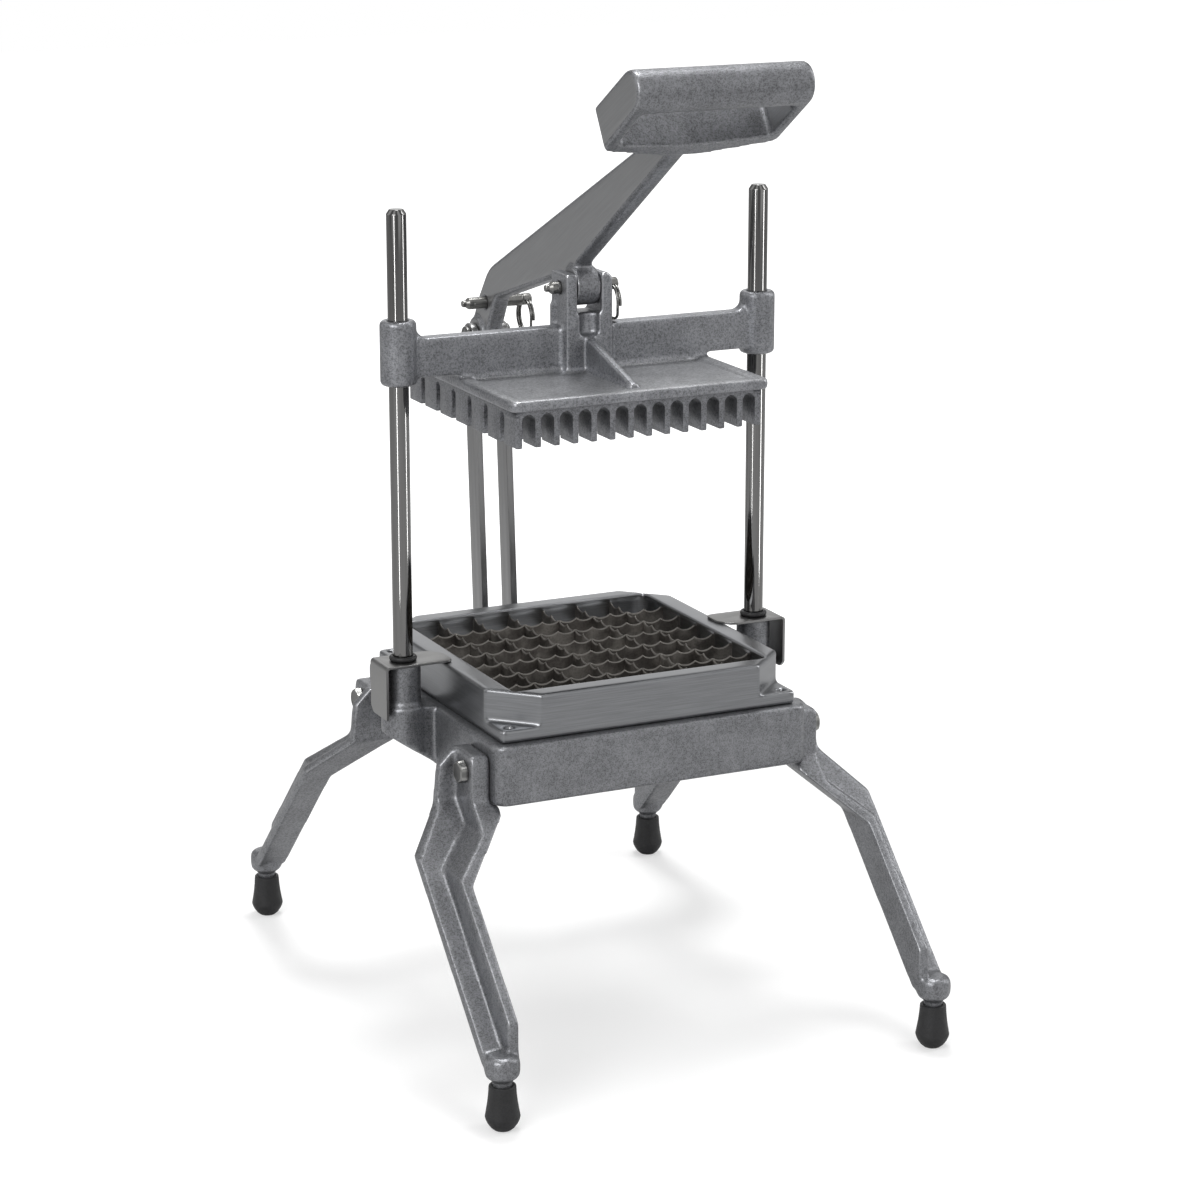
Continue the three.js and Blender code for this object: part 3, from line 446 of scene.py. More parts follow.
@dataclass(frozen=True)
class BrushedFinish:
    """Metal with fine parallel lines, and bright edges that are partly real wear and partly a painted
    highlight.
    """

    name: str
    colour: Colour
    worn_and_highlight: Colour
    roughness: float
    stretch: Triple
    scale: float
    contrast: float
    wear_and_highlight: float = 1.0
    gloss_swing: float = 0.25
    bump: float = 0.02
    bump_depth: float = 0.0002

    def build(self, groups: Groups) -> bpy.types.Material:
        """Build the material.

        Args:
            groups: The shared shader groups.

        Returns:
            The material.
        """
        material, tree, shader = new_material(self.name)
        inputs = {"Stretch": self.stretch, "Scale": self.scale, "Contrast": self.contrast}
        lines = tree.use(groups.brush_lines, inputs)
        wear_and_highlight = tree.use(groups.edge_wear_and_highlight, {"Amount": self.wear_and_highlight})
        # Edges take the lighter colour: partly real rubbed wear, partly a painted highlight.
        colour = tree.mix(wear_and_highlight["Mask"], tree.shaded(self.colour, lines["Shade"]), self.worn_and_highlight)
        swing = tree.math("MULTIPLY", tree.math("SUBTRACT", lines["Shade"], 1.0), self.gloss_swing)
        tree.link(colour, shader, "Base Color")
        tree.link(tree.math("ADD", self.roughness, swing), shader, "Roughness")
        shader.inputs["Metallic"].default_value = 1.0
        tree.bump(shader, lines["Height"], self.bump, self.bump_depth)
        return material


@dataclass(frozen=True)
class PatchyFinish:
    """Dark material with a fine grain under paler patches, as on washed steel or dusty rubber."""

    name: str
    colour: Colour
    patch: Colour
    grain_scale: float
    cloud_scale: float
    contrast: float
    patch_scale: float
    patch_detail: float
    patch_range: Pair
    patch_share: float
    roughness: float
    patch_roughness: float
    metallic: float
    bump: float
    bump_depth: float = 0.0002

    def build(self, groups: Groups) -> bpy.types.Material:
        """Build the material.

        Args:
            groups: The shared shader groups.

        Returns:
            The material.
        """
        material, tree, shader = new_material(self.name)
        inputs = {
            "Grain Scale": self.grain_scale,
            "Cloud Scale": self.cloud_scale,
            "Contrast": self.contrast,
        }
        grain = tree.use(groups.cast_grain, inputs)
        cloud = tree.noise(tree.object_place(), self.patch_scale, self.patch_detail)
        base = tree.mix(tree.ramp(cloud, *self.patch_range, 0.0, self.patch_share), self.colour, self.patch)
        tree.link(tree.shaded(base, grain["Shade"]), shader, "Base Color")
        rough = tree.ramp(cloud, 0.3, 0.7, self.roughness, self.patch_roughness)
        tree.link(rough, shader, "Roughness")
        shader.inputs["Metallic"].default_value = self.metallic
        tree.bump(shader, grain["Height"], self.bump, self.bump_depth)
        return material


class Finishes:
    """Every finish of the cutter, built once."""

    def __init__(self) -> None:
        """Build the materials."""
        groups = Groups()
        self.casting = CastFinish().build(groups)
        self.fingers = CastFinish("finger_aluminium", (0.215, 0.219, 0.232), wear_and_highlight=0.0).build(groups)
        # The plate's field is the same casting made lighter: painted light falling on it from above.
        self.plate = CastFinish("plate_aluminium_top_lit", (0.335, 0.34, 0.352), wear_and_highlight=0.0).build(groups)
        self.crossbar = CastFinish("crossbar_aluminium", (0.265, 0.27, 0.286)).build(groups)
        self.handle = CastFinish(
            "handle_aluminium", (0.22, 0.224, 0.236), ground_axis=(1.0, 0.0, 0.0), ground_turn=0.52
        ).build(groups)
        self.frame = BrushedFinish(
            "frame_aluminium", (0.25, 0.255, 0.265), (0.5, 0.505, 0.52), 0.32,
            stretch=(1.0, 1.0, 70.0), scale=36.0, contrast=0.25, bump=0.06,
        ).build(groups)
        self.rod = BrushedFinish(
            "polished_rod", (0.2, 0.198, 0.196), (0.3, 0.3, 0.3), 0.08,
            stretch=(50.0, 50.0, 1.0), scale=20.0, contrast=0.12, wear_and_highlight=0.0, bump=0.01,
        ).build(groups)
        self.pin = BrushedFinish(
            "pin_steel", (0.22, 0.218, 0.21), (0.36, 0.36, 0.35), 0.34,
            stretch=(60.0, 1.0, 1.0), scale=24.0, contrast=0.2,
        ).build(groups)
        self.ring = BrushedFinish(
            "ring_steel", (0.15, 0.148, 0.142), (0.2, 0.2, 0.195), 0.24,
            stretch=(1.0, 1.0, 1.0), scale=300.0, contrast=0.2,
        ).build(groups)
        self.satin = BrushedFinish(
            "satin_steel", (0.27, 0.27, 0.272), (0.4, 0.4, 0.4), 0.3,
            stretch=(60.0, 60.0, 1.0), scale=20.0, contrast=0.12, wear_and_highlight=0.5,
        ).build(groups)
        self.sheet = BrushedFinish(
            "clip_sheet", (0.22, 0.218, 0.215), (0.32, 0.32, 0.32), 0.34,
            stretch=(50.0, 1.0, 1.0), scale=20.0, contrast=0.12, wear_and_highlight=0.4, bump=0.01,
        ).build(groups)
        self.bolt = BrushedFinish(
            "bolt_steel", (0.15, 0.15, 0.148), (0.34, 0.34, 0.33), 0.34,
            stretch=(1.0, 30.0, 30.0), scale=60.0, contrast=0.2, bump=0.03,
        ).build(groups)
        self.blade = PatchyFinish(
            "blade_steel", (0.12, 0.11, 0.1), (0.225, 0.21, 0.192),
            grain_scale=700.0, cloud_scale=45.0, contrast=0.22,
            patch_scale=70.0, patch_detail=3.0, patch_range=(0.42, 0.66), patch_share=1.0,
            roughness=0.42, patch_roughness=0.56, metallic=0.9, bump=0.05,
        ).build(groups)
        self.blade_edge = BrushedFinish(
            "ground_blade_edge", (0.16, 0.15, 0.138), (0.2, 0.19, 0.176), 0.48,
            stretch=(1.0, 1.0, 1.0), scale=400.0, contrast=0.2, bump=0.03,
        ).build(groups)
        self.rubber = PatchyFinish(
            "black_rubber", (0.013, 0.013, 0.014), (0.028, 0.028, 0.03),
            grain_scale=1600.0, cloud_scale=90.0, contrast=0.5,
            patch_scale=130.0, patch_detail=4.0, patch_range=(0.45, 0.75), patch_share=0.6,
            roughness=0.42, patch_roughness=0.62, metallic=0.0, bump=0.08,
        ).build(groups)


# Meshes


def object_from(name: str, data: bpy.types.ID) -> bpy.types.Object:
    """Link a mesh, curve, lamp or camera to the scene as an object at the origin.

    Args:
        name: Name of the object.
        data: What the object holds.

    Returns:
        The object.
    """
    result = bpy.data.objects.new(name, data)
    bpy.context.scene.collection.objects.link(result)
    return result


def evaluated(subject: bpy.types.Object, name: str) -> Mesh:
    """Apply every modifier of an object, and remove the object.

    Args:
        subject: The object.
        name: Name of the result.

    Returns:
        The plain mesh.
    """
    bpy.context.view_layer.update()
    graph = bpy.context.evaluated_depsgraph_get()
    final = subject.evaluated_get(graph)
    mesh = bpy.data.meshes.new_from_object(final, preserve_all_data_layers=True, depsgraph=graph)
    mesh.name = name
    bpy.data.objects.remove(subject)
    return mesh


def sharpen(mesh: Mesh, degrees: float = 35.0) -> Mesh:
    """Mark edges sharper than an angle, so that flats stay flat under smooth shading.

    Args:
        mesh: The mesh to mark.
        degrees: The angle.

    Returns:
        The same mesh.
    """
    work = bmesh.new()
    work.from_mesh(mesh)
    limit = math.radians(degrees)
    for edge in work.edges:
        edge.smooth = not (edge.is_manifold and edge.calc_face_angle(0.0) > limit)
    work.to_mesh(mesh)
    work.free()
    return mesh


def lofted(
    name: str, rings: Sequence[Sequence[Sequence[float]]], loop: bool = False, smooth: bool = True
) -> Mesh:
    """Join equal rings of points by quads.

    Args:
        name: Name of the mesh.
        rings: Rings of points with the same count, in millimetres.
        loop: Whether the last ring joins the first. Otherwise the first and last ring are filled.
        smooth: Whether the faces shade smoothly.

    Returns:
        The closed mesh in metres, with its faces pointing outwards.
    """
    work = bmesh.new()
    made = [[work.verts.new(Vector(point) * MM) for point in ring] for ring in rings]
    count = len(made[0])
    pairs = list(zip(made, made[1:]))
    if loop:
        pairs.append((made[-1], made[0]))
    for low, high in pairs:
        for index in range(count):
            after = (index + 1) % count
            work.faces.new((low[index], low[after], high[after], high[index]))
    if not loop:
        work.faces.new(made[0][::-1])
        work.faces.new(made[-1])
    bmesh.ops.remove_doubles(work, verts=work.verts, dist=MERGE_DISTANCE)
    bmesh.ops.recalc_face_normals(work, faces=work.faces)
    for face in work.faces:
        face.smooth = smooth
    mesh = bpy.data.meshes.new(name)
    work.to_mesh(mesh)
    work.free()
    return mesh


def turned(
    name: str,
    profile: Sequence[Pair],
    sides: int = 48,
    centre: Triple = (0.0, 0.0, 0.0),
    axis: Axis = Axis.Z,
    loop: bool = False,
) -> Mesh:
    """Make a turned piece.

    Args:
        name: Name of the mesh.
        profile: Radius and place along the axis, from one end to the other. Where an end of the
            piece is closed, the profile stops just off the axis and a small facet fills it.
        sides: Number of facets round the axis.
        centre: A point on the axis.
        axis: Direction of the axis.
        loop: Whether the profile closes on itself, as on a ring.

    Returns:
        The mesh, in metres.
    """
    rings = []
    for radius, along in profile:
        ring = []
        for side in range(sides):
            angle = 2 * math.pi * side / sides
            a, b = radius * math.cos(angle), radius * math.sin(angle)
            point = {Axis.X: (along, a, b), Axis.Y: (b, along, a), Axis.Z: (a, b, along)}[axis]
            ring.append(Vector(point) + Vector(centre))
        rings.append(ring)
    return sharpen(lofted(name, rings, loop=loop))


def rounded(profile: Sequence[Pair], radius: float, steps: int = 3) -> Outline:
    """Round the inner corners of an open profile.

    Args:
        profile: Points of the profile.
        radius: Size of the rounding.
        steps: Number of facets in each corner.

    Returns:
        The profile with its corners rounded.
    """
    most = 0.45
    result = [profile[0]]
    for before, here, after in zip(profile, profile[1:], profile[2:]):
        corner, back, on = Vector(here), Vector(before), Vector(after)
        reach = min(radius, (back - corner).length * most, (on - corner).length * most)
        start = corner + (back - corner).normalized() * reach
        end = corner + (on - corner).normalized() * reach
        for step in range(steps + 1):
            share = step / steps
            point = start * (1 - share) ** 2 + corner * 2 * share * (1 - share) + end * share**2
            result.append((point.x, point.y))
    result.append(profile[-1])
    return result


def flat_plate(
    name: str, outlines: Sequence[Outline], low: float, high: float, bevel: float, place: Matrix | None = None
) -> Mesh:
    """Make a plate with rounded edges from flat outlines.

    Args:
        name: Name of the mesh.
        outlines: The outer outline and the holes.
        low: Lower face.
        high: Upper face.
        bevel: Radius of the edges.
        place: Turns and moves the plate, in metres.

    Returns:
        The mesh, in metres.
    """
    curve = bpy.data.curves.new(name, "CURVE")
    curve.dimensions = "2D"
    curve.fill_mode = "BOTH"
    curve.extrude = ((high - low) / 2 - bevel) * MM
    curve.bevel_depth = bevel * MM
    curve.bevel_resolution = 2
    curve.offset = -bevel * MM
    for points in outlines:
        spline = curve.splines.new("POLY")
        spline.points.add(len(points) - 1)
        for point, (x, y) in zip(spline.points, points):
            point.co = (x * MM, y * MM, 0.0, 1.0)
        spline.use_cyclic_u = True
    mesh = evaluated(object_from(name, curve), name)
    mesh.transform(Matrix.Translation((0.0, 0.0, (low + high) / 2 * MM)))
    if place is not None:
        mesh.transform(place)
    work = bmesh.new()
    work.from_mesh(mesh)
    bmesh.ops.remove_doubles(work, verts=work.verts, dist=MERGE_DISTANCE)
    for face in work.faces:
        face.smooth = True
    work.to_mesh(mesh)
    work.free()
    return sharpen(mesh, 40.0)


def round_rectangle(half_x: float, half_y: float, radius: float, steps: int) -> Outline:
    """Draw a rectangle with round corners.

    Args:
        half_x: Half of its width.
        half_y: Half of its depth.
        radius: Radius of its corners.
        steps: Number of facets in each corner.

    Returns:
        Its points.
    """
    points = []
    for quarter, (sx, sy) in enumerate(((1, 1), (-1, 1), (-1, -1), (1, -1))):
        for step in range(steps + 1):
            angle = (quarter + step / steps) * math.pi / 2
            x = sx * (half_x - radius) + radius * math.cos(angle)
            y = sy * (half_y - radius) + radius * math.sin(angle)
            points.append((x, y))
    return points


def circle(radius: float, centre: Pair = (0.0, 0.0)) -> Outline:
    """Return the points of a circle."""
    turns = [2 * math.pi * step / CIRCLE_STEPS for step in range(CIRCLE_STEPS)]
    return [(centre[0] + radius * math.cos(turn), centre[1] + radius * math.sin(turn)) for turn in turns]


def joined(name: str, meshes: Sequence[Mesh]) -> Mesh:
    """Join meshes into one.

    Args:
        name: Name of the result.
        meshes: The meshes, which have no materials yet.

    Returns:
        The joined mesh.
    """
    work = bmesh.new()
    for mesh in meshes:
        work.from_mesh(mesh)
    result = bpy.data.meshes.new(name)
    work.to_mesh(result)
    work.free()
    return result


def dressed(mesh: Mesh, material: bpy.types.Material) -> Mesh:
    """Give a mesh one material.

    Args:
        mesh: The mesh.
        material: Its finish.

    Returns:
        The same mesh.
    """
    mesh.materials.clear()
    mesh.materials.append(material)
    return mesh


@dataclass(frozen=True)
class Rounding:
    """How softly a casting is rounded: the size of its facets and how often it is smoothed."""

    facet: float
    rounds: int


def cast_copy(
    node: bpy.types.Object,
    name: str,
    rounding: Rounding,
    trim: Callable[[bmesh.types.BMesh], None] | None = None,
) -> Mesh:
    """Copy a solid as a casting, with every edge and corner softly rounded.

    Args:
        node: The solid to copy, whose mesh is loose triangles.
        name: Name of the new mesh.
        rounding: How softly it is rounded.
        trim: Cuts the copy before it is rounded.

    Returns:
        The rounded mesh.
    """
    work = bmesh.new()
    work.from_mesh(node.data)
    bmesh.ops.remove_doubles(work, verts=work.verts, dist=SOLID_MERGE_DISTANCE)
    if trim is not None:
        trim(work)
    copy = bpy.data.meshes.new(name)
    work.to_mesh(copy)
    work.free()
    subject = object_from(name, copy)
    remesh = subject.modifiers.new("skin", "REMESH")
    remesh.mode = "VOXEL"
    remesh.voxel_size = rounding.facet * MM
    remesh.use_smooth_shade = True
    smooth = subject.modifiers.new("soften", "SMOOTH")
    smooth.factor = 0.5
    smooth.iterations = rounding.rounds
    mesh = evaluated(subject, name)
    for polygon in mesh.polygons:
        polygon.use_smooth = True
    return mesh


def wire(name: str, points: Sequence[Triple], radius: float) -> Mesh:
    """Make a round wire.

    Args:
        name: Name of the mesh.
        points: The points that it follows.
        radius: Radius of the wire.

    Returns:
        The mesh, in metres.
    """
    path = [Vector(point) for point in points]
    turns = [2 * math.pi * side / WIRE_SIDES for side in range(WIRE_SIDES)]
    rings = []
    for index, point in enumerate(path):
        ahead = path[min(index + 1, len(path) - 1)] - path[max(index - 1, 0)]
        across = ahead.cross(Vector((1.0, 0.0, 0.0))).normalized()
        other = across.cross(ahead).normalized()
        rings.append([point + (across * math.cos(turn) + other * math.sin(turn)) * radius for turn in turns])
    return sharpen(lofted(name, rings), 50.0)


# Repeating features


class Repeater:
    """A Geometry Nodes tree that repeats one part of the cutter over a grid of places."""

    def __init__(self) -> None:
        """Build the tree once."""
        inputs = {
            "Geometry": (GEOMETRY, None),
            "Pitch X": (FLOAT, 0.01),
            "Pitch Y": (FLOAT, 0.01),
            "Count X": ("NodeSocketInt", 1),
            "Count Y": ("NodeSocketInt", 1),
            "Turn About Middle": ("NodeSocketBool", False),
            "Material": ("NodeSocketMaterial", None),
            "Edge Material": ("NodeSocketMaterial", None),
        }
        self.group = new_group("repeat_over_grid", "GeometryNodeTree", inputs, {"Geometry": GEOMETRY})
        tree = Tree(self.group)
        given = tree.add("NodeGroupInput").outputs
        size = [
            tree.math("MULTIPLY", given[f"Pitch {axis}"], tree.math("SUBTRACT", given[f"Count {axis}"], 1.0))
            for axis in "XY"
        ]
        counts = {"Vertices X": given["Count X"], "Vertices Y": given["Count Y"]}
        grid = tree.add("GeometryNodeMeshGrid", {"Size X": size[0], "Size Y": size[1], **counts})
        place = tree.add("GeometryNodeInputPosition").outputs[0]
        left = tree.math("LESS_THAN", tree.add("ShaderNodeSeparateXYZ", {0: place}).outputs["X"], 0.0)
        turn = tree.math("MULTIPLY", tree.math("MULTIPLY", left, given["Turn About Middle"]), math.pi)
        spin = tree.add("ShaderNodeCombineXYZ", {"Z": turn}).outputs[0]
        copies = tree.add(
            "GeometryNodeInstanceOnPoints",
            {"Points": grid.outputs["Mesh"], "Instance": given["Geometry"], "Rotation": spin},
        )
        real = tree.add("GeometryNodeRealizeInstances", {"Geometry": copies.outputs["Instances"]})
        plain = {"Geometry": real.outputs[0], "Material": given["Material"]}
        body = tree.add("GeometryNodeSetMaterial", plain)
        marked = tree.add("GeometryNodeInputNamedAttribute", {"Name": "ground_edge"}, data_type="BOOLEAN")
        edge = {"Selection": marked.outputs["Attribute"], "Material": given["Edge Material"]}
        edges = tree.add("GeometryNodeSetMaterial", {"Geometry": body.outputs[0], **edge})
        tree.add("NodeGroupOutput", {"Geometry": edges.outputs[0]})

    def spread(
        self,
        name: str,
        mesh: Mesh,
        pitch: Pair,
        count: tuple[int, int],
        material: bpy.types.Material,
        edge: bpy.types.Material | None = None,
        turn: bool = False,
    ) -> Mesh:
        """Repeat a mesh over a grid centred on the origin.

        Args:
            name: Name of the result.
            mesh: The part, at the middle of the grid.
            pitch: Spacing along X and Y.
            count: Number along X and Y.
            material: Finish of the part.
            edge: Finish of the faces marked as ground edge, if it has any.
            turn: Whether copies on the left are turned half round.

        Returns:
            One plain mesh with every copy.
        """
        subject = object_from(name, mesh)
        nodes = subject.modifiers.new("repeat", "NODES")
        nodes.node_group = self.group
        values = {
            "Pitch X": pitch[0] * MM,
            "Pitch Y": pitch[1] * MM,
            "Count X": count[0],
            "Count Y": count[1],
            "Turn About Middle": turn,
            "Material": material,
            "Edge Material": edge or material,
        }
        for item in self.group.interface.items_tree:
            if item.in_out == "INPUT" and item.name in values:
                nodes[item.identifier] = values[item.name]
        return evaluated(subject, name)


# The cutter


@dataclass
class Shop:
    """What every sub-assembly is built with."""

    frame: dict
    finishes: Finishes
    repeater: Repeater
    polished: list[bpy.types.Object] = field(default_factory=list)

    def node(self, name: str) -> bpy.types.Object:
        """Return a solid of the frame by name."""
        return self.frame["nodes"][name]

    def fit(self, mesh: Mesh, body: str, slot: str, *nodes: str) -> bpy.types.Object:
        """Put a finished mesh on its body in place of its solids.

        Args:
            mesh: The finished mesh.
            body: Name of the body that it rides on.
            slot: The record's material slot; not used.
            nodes: Solids that it stands for.

        Returns:
            The new piece.
        """
        result = object_from(mesh.name, mesh)
        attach(result, body)
        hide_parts(*nodes)
        LOG.info("%s: %d faces on %s", mesh.name, len(mesh.polygons), body)
        return result


@dataclass
class Base:
    """Open base casting on four bolted legs with rubber feet."""

    corners: tuple[str, ...] = ("front_left", "front_right", "back_left", "back_right")
    body_rounding: Rounding = Rounding(1.25, 7)
    leg_rounding: Rounding = Rounding(1.15, 18)
    foot_reach: Pair = (150.3, 205.8)
    foot_sides: int = 40
    foot_profile: tuple[Pair, ...] = (
        (0.4, 0.0), (4.2, 0.0), (5.6, 0.5), (7.6, 2.2), (9.4, 4.8), (10.4, 7.0), (10.85, 8.9), (10.75, 9.5),
        (10.1, 13.0), (9.3, 18.0), (8.75, 23.0), (8.45, 27.6), (8.3, 28.6), (7.9, 29.0), (6.6, 29.0),
        (6.6, 11.7), (0.4, 11.7),
    )
    bolt_place: Triple = (122.5, 87.0, 188.0)
    bolt_half: float = 6.5
    bolt_washer: float = 0.35
    bolt_head: float = 5.0
    bolt_steps: int = 48
    shank_radius: float = 4.0
    shank_start: float = 0.2
    shank_length: float = 19.0
    shank_chamfer: float = 0.6
    shank_core: float = 0.2
    shank_sides: int = 32

    def build(self, shop: Shop) -> None:
        """Build and dress the base, legs, bolts and feet.

        Args:
            shop: What it is built with.
        """
        finishes, spread = shop.finishes, shop.repeater.spread
        base = cast_copy(shop.node("base_casting"), "base_body", self.body_rounding)
        shop.fit(dressed(base, finishes.casting), "base", "cast_aluminium", "base_casting")
        for corner in self.corners:
            leg = cast_copy(shop.node(f"leg_{corner}"), f"splayed_leg_{corner}", self.leg_rounding)
            shop.fit(dressed(leg, finishes.casting), "base", "cast_aluminium", f"leg_{corner}")
        reach = (2 * self.foot_reach[0], 2 * self.foot_reach[1])
        feet = spread("rubber_feet", self.foot(), reach, (2, 2), finishes.rubber)
        shop.fit(feet, "base", "black_rubber", *[f"foot_{corner}" for corner in self.corners])
        reach = (2 * self.bolt_place[0], 2 * self.bolt_place[1])
        bolts = spread("leg_bolts", self.bolt(), reach, (2, 2), finishes.bolt, turn=True)
        shop.fit(bolts, "base", "satin_steel", *[f"leg_bolt_{corner}" for corner in self.corners])

    def foot(self) -> Mesh:
        """Make one foot, a cup with a bulging tread."""
        return turned("foot", self.foot_profile, self.foot_sides)

    def hexagon(self, along: float, limit: float) -> list[Triple]:
        """Make a hexagon ring whose corners are cut back to a circle.

        Args:
            along: Its place along the bolt's axis.
            limit: Radius of the circle.

        Returns:
            Its points.
        """
        points = []
        for step in range(self.bolt_steps):
            angle = 2 * math.pi * step / self.bolt_steps
            within = (angle + math.pi / 6) % (math.pi / 3) - math.pi / 6
            radius = min(self.bolt_half / math.cos(within), limit)
            points.append((along, radius * math.cos(angle), radius * math.sin(angle) + self.bolt_place[2]))
        return points

    def bolt(self) -> Mesh:
        """Make one hexagon bolt with a chamfered head and a washer face, pointing inwards.

        Returns:
            The mesh, in metres.
        """
        half, washer, top = self.bolt_half, self.bolt_washer, self.bolt_head
        corner = half / math.cos(math.pi / 6)
        # Places along the axis, and the radius of the circle that cuts the corners back there.
        sections = (
            (0.0, half * 0.93),
            (washer, half * 0.93),
            (washer, corner),
            (top - 1.2, corner),
            (top - 0.5, half + 0.35),
            (top - 0.1, half * 0.96),
            (top, half * 0.86),
            (top - 0.25, half * 0.8),
        )
        rings = [self.hexagon(along, limit) for along, limit in sections]
        head = sharpen(lofted("bolt_head", rings), 25.0)
        radius, core, start, end = self.shank_radius, self.shank_core, self.shank_start, -self.shank_length
        taper = [(radius, end + self.shank_chamfer), (radius - self.shank_chamfer, end)]
        profile = [(core, start), (radius, start), *taper, (core, end)]
        shank = turned("bolt_shank", profile, self.shank_sides, (0.0, 0.0, self.bolt_place[2]), Axis.X)
        return joined("leg_bolt", [head, shank])


@dataclass
class Rods:
    """Two polished guide rods with their O-rings and the sheet clips that turn on them.

    The corners of a clip's plate are given by distances from its tip and from its side. The steps
    of its leg are given by the height over its end, and by what is cut off its front and its back.
    """

    reach: float = 127.0
    radius: float = 6.35
    bottom: float = 193.0
    top: float = 528.6
    rod_sides: int = 64
    tip_length: float = 2.9
    tip_depth: float = 1.9
    tip_round: float = 0.35
    ring_low: float = 238.3
    ring_wire: float = 1.65
    ring_half_width: float = 1.5
    ring_turn: float = 7.45
    ring_steps: int = 16
    clip_low: float = 236.7
    clip_sheet: float = 1.6
    clip_out: float = 17.2
    clip_in: float = 29.5
    clip_half: float = 13.5
    clip_hole: float = 6.7
    clip_end: float = 203.0
    clip_bend: float = 2.6
    bend_lap: float = 0.2
    bend_steps: int = 6
    edge_round: float = 0.25
    round_corner: tuple[Pair, ...] = ((5.5, 0.0), (2.2, 0.7), (0.7, 2.2), (0.0, 5.0))
    slant_corner: tuple[Pair, ...] = ((0.2, 11.0), (2.4, 6.2), (6.5, 1.6), (11.0, 0.0))
    leg_steps: tuple[Triple, ...] = ((25.3, 0.0, 0.0), (4.0, 0.0, 0.0), (1.2, 2.8, 0.4), (0.0, 4.6, 0.4))

    def build(self, shop: Shop) -> None:
        """Build and dress rods, rings and clips.

        Args:
            shop: What it is built with.
        """
        finishes, spread = shop.finishes, shop.repeater.spread
        places = (2 * self.reach, 0.0)
        rods = spread("guide_rods", self.rod(), places, (2, 1), finishes.rod)
        shop.polished.append(shop.fit(rods, "base", "polished_steel", "guide_rod_left", "guide_rod_right"))
        rings = spread("o_rings", self.o_ring(), places, (2, 1), finishes.rubber)
        shop.fit(rings, "base", "black_rubber", "o_ring_left", "o_ring_right")
        for place, turn in (("right", 0.0), ("left", math.pi)):
            clip = self.clip(f"sheet_clip_{place}")
            clip.transform(Matrix.Rotation(turn, 4, "Z"))
            shop.fit(dressed(clip, finishes.sheet), f"clip_{place}", "satin_steel", f"hold_down_clip_{place}")

    def rod(self) -> Mesh:
        """Make one rod with a tapered tip.

        Returns:
            The mesh, in metres.
        """
        radius, low, top = self.radius, self.bottom, self.top
        taper = [(radius, top - self.tip_length), (radius - self.tip_depth, top)]
        profile = [(CORE, low), (radius, low), *taper, (CORE, top)]
        return turned("rod", rounded(profile, self.tip_round), self.rod_sides)

    def o_ring(self) -> Mesh:
        """Make one O-ring.

        Returns:
            The mesh, in metres.
        """
        turns = [2 * math.pi * step / self.ring_steps for step in range(self.ring_steps)]
        middle = self.ring_low + self.ring_wire
        profile = [
            (self.ring_turn + self.ring_half_width * math.cos(turn), middle + self.ring_wire * math.sin(turn))
            for turn in turns
        ]
        return turned("ring", profile, loop=True)

    def clip(self, name: str) -> Mesh:
        """Make the right clip: a plate with a rod hole, bent down outside the lug.

        Args:
            name: Name of the mesh.

        Returns:
            The mesh, in metres.
        """
        tip, start = self.reach - self.clip_in, self.reach + self.clip_out - self.clip_bend
        half, low = self.clip_half, self.clip_low
        outline = [(start, -half), (start, half)]
        outline += [(tip + along, half - across) for along, across in self.round_corner]
        outline += [(tip + along, across - half) for along, across in self.slant_corner]
        outlines = [outline, circle(self.clip_hole, (self.reach, 0.0))]
        plate = flat_plate(f"{name}_plate", outlines, low, low + self.clip_sheet, self.edge_round)
        return joined(name, [plate, self.clip_leg(f"{name}_leg")])

    def clip_leg(self, name: str) -> Mesh:
        """Make the bend of the right clip and the leg below it.

        Args:
            name: Name of the mesh.

        Returns:
            The mesh, in metres.
        """
        outer, half, bend, sheet = self.reach + self.clip_out, self.clip_half, self.clip_bend, self.clip_sheet
        top = self.clip_low + sheet
        start = outer - bend - self.bend_lap
        sections = [((start, top), (start, self.clip_low), 0.0, 0.0)]
        for step in range(self.bend_steps + 1):
            turn = math.pi / 2 * (1 - step / self.bend_steps)
            outside, inside = (
                (outer - bend + radius * math.cos(turn), top - bend + radius * math.sin(turn))
                for radius in (bend, bend - sheet)
            )
            sections.append((outside, inside, 0.0, 0.0))
        for over, front, back in self.leg_steps:
            height = self.clip_end + over
            sections.append(((outer, height), (outer - sheet, height), front, back))
        rings = []
        for (ax, az), (bx, bz), front, back in sections:
            y, other = front - half, half - back
            rings.append([(ax, y, az), (ax, other, az), (bx, other, bz), (bx, y, bz)])
        return sharpen(lofted(name, rings), 30.0)


